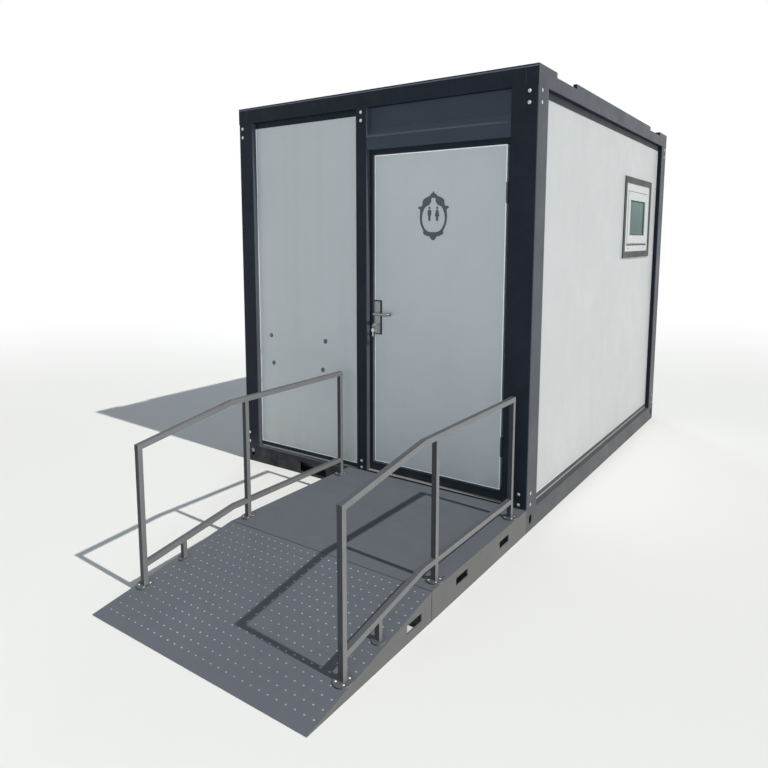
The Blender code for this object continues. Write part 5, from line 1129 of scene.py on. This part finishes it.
# plumbing: trap, angle valves and rigid supply pipes; shapes are (radius, height) points
plumbing = {
    "wasteY": 0.2953, "trapRadius": 0.016, "trapDrop": 0.115, "trapBelow": 0.045, "trapBack": 0.070,
    "trapRise": 0.010, "trapBend": 0.026, "wasteDown": 0.0225, "pipeFrom": 0.010, "intoWall": 0.002,
    "wasteNut": ((0.023, 0), (0.023, 0.018), (0.019, 0.022), (0.016, 0.022)),
    "wallRose": ((0.036, 0), (0.036, 0.003), (0.024, 0.009), (0.018, 0.010)), "offWall": 0.0002,
    "valveAside": 0.085, "valveDown": 0.060,
    "valveBody": ((0.024, 0), (0.024, 0.003), (0.010, 0.005), (0.010, 0.034), (0, 0.034)),
    "valveKnob": ((0.013, 0), (0.013, 0.012), (0.009, 0.014), (0, 0.014)), "knobOut": 0.034,
    "valveNeck": ((0.009, 0), (0.009, 0.016), (0, 0.016)), "neckOut": 0.024, "neckUp": 0.008,
    "supplyRadius": 0.005, "supplyBend": 0.016, "supplyUp": 0.020, "supplyTurn": 0.045,
    "tapAside": 0.030, "intoBasin": 0.004,
    "tankX": 0.045, "tankValveAside": 0.055, "tankValveZ": 0.400, "tankPipeOut": 0.034,
    "tankValve": ((0.024, 0), (0.024, 0.003), (0.010, 0.005), (0.010, 0.040), (0, 0.040)),
    "tankNut": ((0.013, 0), (0.013, 0.014), (0, 0.014)), "tankNutDown": 0.0145, "tankPipeDown": 0.002,
}


def makePlumbing(p):
    basin = cabinBox("wash_basin")
    x = (basin[0].x + basin[1].x) / 2
    y, z, wall = p["wasteY"], basin[0].z, panelHigh.y
    drop = z - p["trapDrop"]
    low, rise, back = drop - p["trapBelow"], drop + p["trapRise"], y - p["trapBack"]
    bm = bmesh.new()
    addTurned(bm, p["wasteNut"], (x, y, z - p["wasteDown"]), (0, 0, 1), 20)
    bentTube(bm, [(x, y, z - p["pipeFrom"]), (x, y, low), (x, back, low), (x, back, rise),
                  (x, wall + p["intoWall"], rise)], p["trapRadius"], p["trapBend"])
    addTurned(bm, p["wallRose"], (x, wall + p["offWall"], rise), (0, 1, 0), 24)
    placePiece("basin_trap", bm, "chrome")
    valves, pipes = bmesh.new(), bmesh.new()
    at, pipeY, turn = drop - p["valveDown"], wall + p["neckOut"], drop + p["supplyTurn"]
    for side in (-1, 1):
        ax, tx = x + side * p["valveAside"], x + side * p["tapAside"]
        addTurned(valves, p["valveBody"], (ax, wall + p["offWall"], at), (0, 1, 0), 18)
        addTurned(valves, p["valveKnob"], (ax, wall + p["knobOut"], at), (0, 1, 0), 10)
        addTurned(valves, p["valveNeck"], (ax, pipeY, at + p["neckUp"]), (0, 0, 1), 12)
        bentTube(pipes, [(ax, pipeY, at + p["supplyUp"]), (ax, pipeY, turn), (tx, pipeY, turn),
                         (tx, pipeY, z + p["intoBasin"])], p["supplyRadius"], p["supplyBend"], 10)
    placePiece("angle_valves", valves, "chrome")
    placePiece("tap_supply_pipes", pipes, "chrome")

    tank = cabinBox("cistern")
    x, z, back = tank[0].x + p["tankX"], tank[0].z, rearLow.y
    ax, pipeY = x - p["tankValveAside"], back - p["tankPipeOut"]
    bm = bmesh.new()
    addTurned(bm, p["tankValve"], (ax, back - p["offWall"], p["tankValveZ"]), (0, -1, 0), 18)
    placePiece("cistern_valve", bm, "chrome")
    bm = bmesh.new()
    level = (p["tankValveZ"] + z) / 2
    bentTube(bm, [(ax, pipeY, p["tankValveZ"]), (ax, pipeY, level), (x, pipeY, level),
                  (x, pipeY, z - p["tankPipeDown"])], p["supplyRadius"], p["supplyBend"], 10)
    addTurned(bm, p["tankNut"], (x, pipeY, z - p["tankNutDown"]), (0, 0, 1), 8)
    placePiece("cistern_supply_pipe", bm, "chrome")


# round pieces whose facets would show: the same form, shaded smooth, with the body that each rides on
smoothWare = {"toilet_pan": "cabin", "toilet_seat": "seat", "toilet_lid": "lid", "wash_basin": "cabin",
              "paper_roll": "roll", "grab_rail": "cabin", "fold_rail": "fold_arm", "tap_body": "cabin",
              "tap_lever": "tap_handle", "lever_outer": "lever", "lever_inner": "lever",
              "ceiling_light": "cabin"}


def makeSmoothWare(ware, weld=1e-5):
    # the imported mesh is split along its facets, so its points are welded first
    for row in frame["record"]["subparts"]:
        name = row["node"]
        if name not in ware:
            continue
        bm = bmesh.new()
        bm.from_mesh(nodes[name].data)
        bmesh.ops.remove_doubles(bm, verts=bm.verts, dist=weld)
        place = Matrix.Translation((0, -frontY, 0)) @ nodes[name].matrix_world
        bmesh.ops.transform(bm, matrix=place, verts=bm.verts)
        look = nodeFinish.get(name, slotFinish[row["material_slot"]])
        piece = placePiece(name + "_surface", bm, look, ware[name], stand=name)


fittings = {
    "clipSize": 0.018, "clipInset": 0.07, "clipOver": 0.010, "clipUnder": 0.006, "clipLift": 0.0002,
    "clipThick": 0.0022, "clipGap": 0.0003, "clipOffWall": 0.0004, "clipEase": 0.0006,
    "coreSection": ((0.0212, 0), (0.0245, 0), (0.0240, 0.0007), (0.0214, 0.0007)), "coreSides": 28,
    "hookZ": 1.62, "hookPlate": (0.011, 0.028),
    "plateLift": 0.0002, "plateThick": 0.0035, "plateEase": 0.0015,
    "hookPath": ((0.003, -0.008), (0.036, -0.014), (0.044, 0.020)), "hookWire": 0.0045, "hookBend": 0.010,
    "hookScrews": (-0.020, 0.019), "screwRadius": 0.0034, "screwHead": 0.0016,
}


def makeFittings(f):
    low, high = cabinBox("mirror")
    half, ease, face = f["clipSize"] / 2, f["clipEase"], high.y + f["clipLift"]
    bm = bmesh.new()
    for x in (low.x + f["clipInset"], high.x - f["clipInset"]):
        for z, way in ((low.z, 1), (high.z, -1)):
            z0, z1 = sorted((z - way * f["clipUnder"], z + way * f["clipOver"]))
            addBlock(bm, (x - half, face, z0), (x + half, high.y + f["clipThick"], z1), ease)
            z0, z1 = sorted((z - way * f["clipGap"], z - way * f["clipUnder"]))
            addBlock(bm, (x - half, low.y + f["clipOffWall"], z0), (x + half, face, z1), ease)
    placePiece("mirror_clips", bm, "chrome")

    low, high = cabinBox("paper_roll")
    cx, cz = (low.x + high.x) / 2, (low.z + high.z) / 2
    bm = bmesh.new()
    for y, out in ((low.y, -1), (high.y, 1)):
        section = [(radius, out * height) for radius, height in f["coreSection"]]
        addLoop(bm, section, (cx, y, cz), "y", f["coreSides"])
    placePiece("roll_core", bm, "cardboard", "roll")

    x, z, face = (leafLow.x + leafHigh.x) / 2, f["hookZ"], leafHigh.y
    wide, tall = f["hookPlate"]
    top = face + f["plateThick"]
    bm = bmesh.new()
    addBlock(bm, (x - wide, face + f["plateLift"], z - tall), (x + wide, top, z + tall), f["plateEase"])
    bentTube(bm, [(x, face + out, z + up) for out, up in f["hookPath"]], f["hookWire"], f["hookBend"], 10)
    for up in f["hookScrews"]:
        addScrew(bm, (x, top, z + up), (0, 1, 0), f["screwRadius"], f["screwHead"])
    placePiece("coat_hook", bm, "chrome", "door")


makeSkirting(room)
makeDuct(room)
makeThreshold(room)
makePlumbing(plumbing)
makeFittings(fittings)
makeSmoothWare(smoothWare)
print("room dressed")
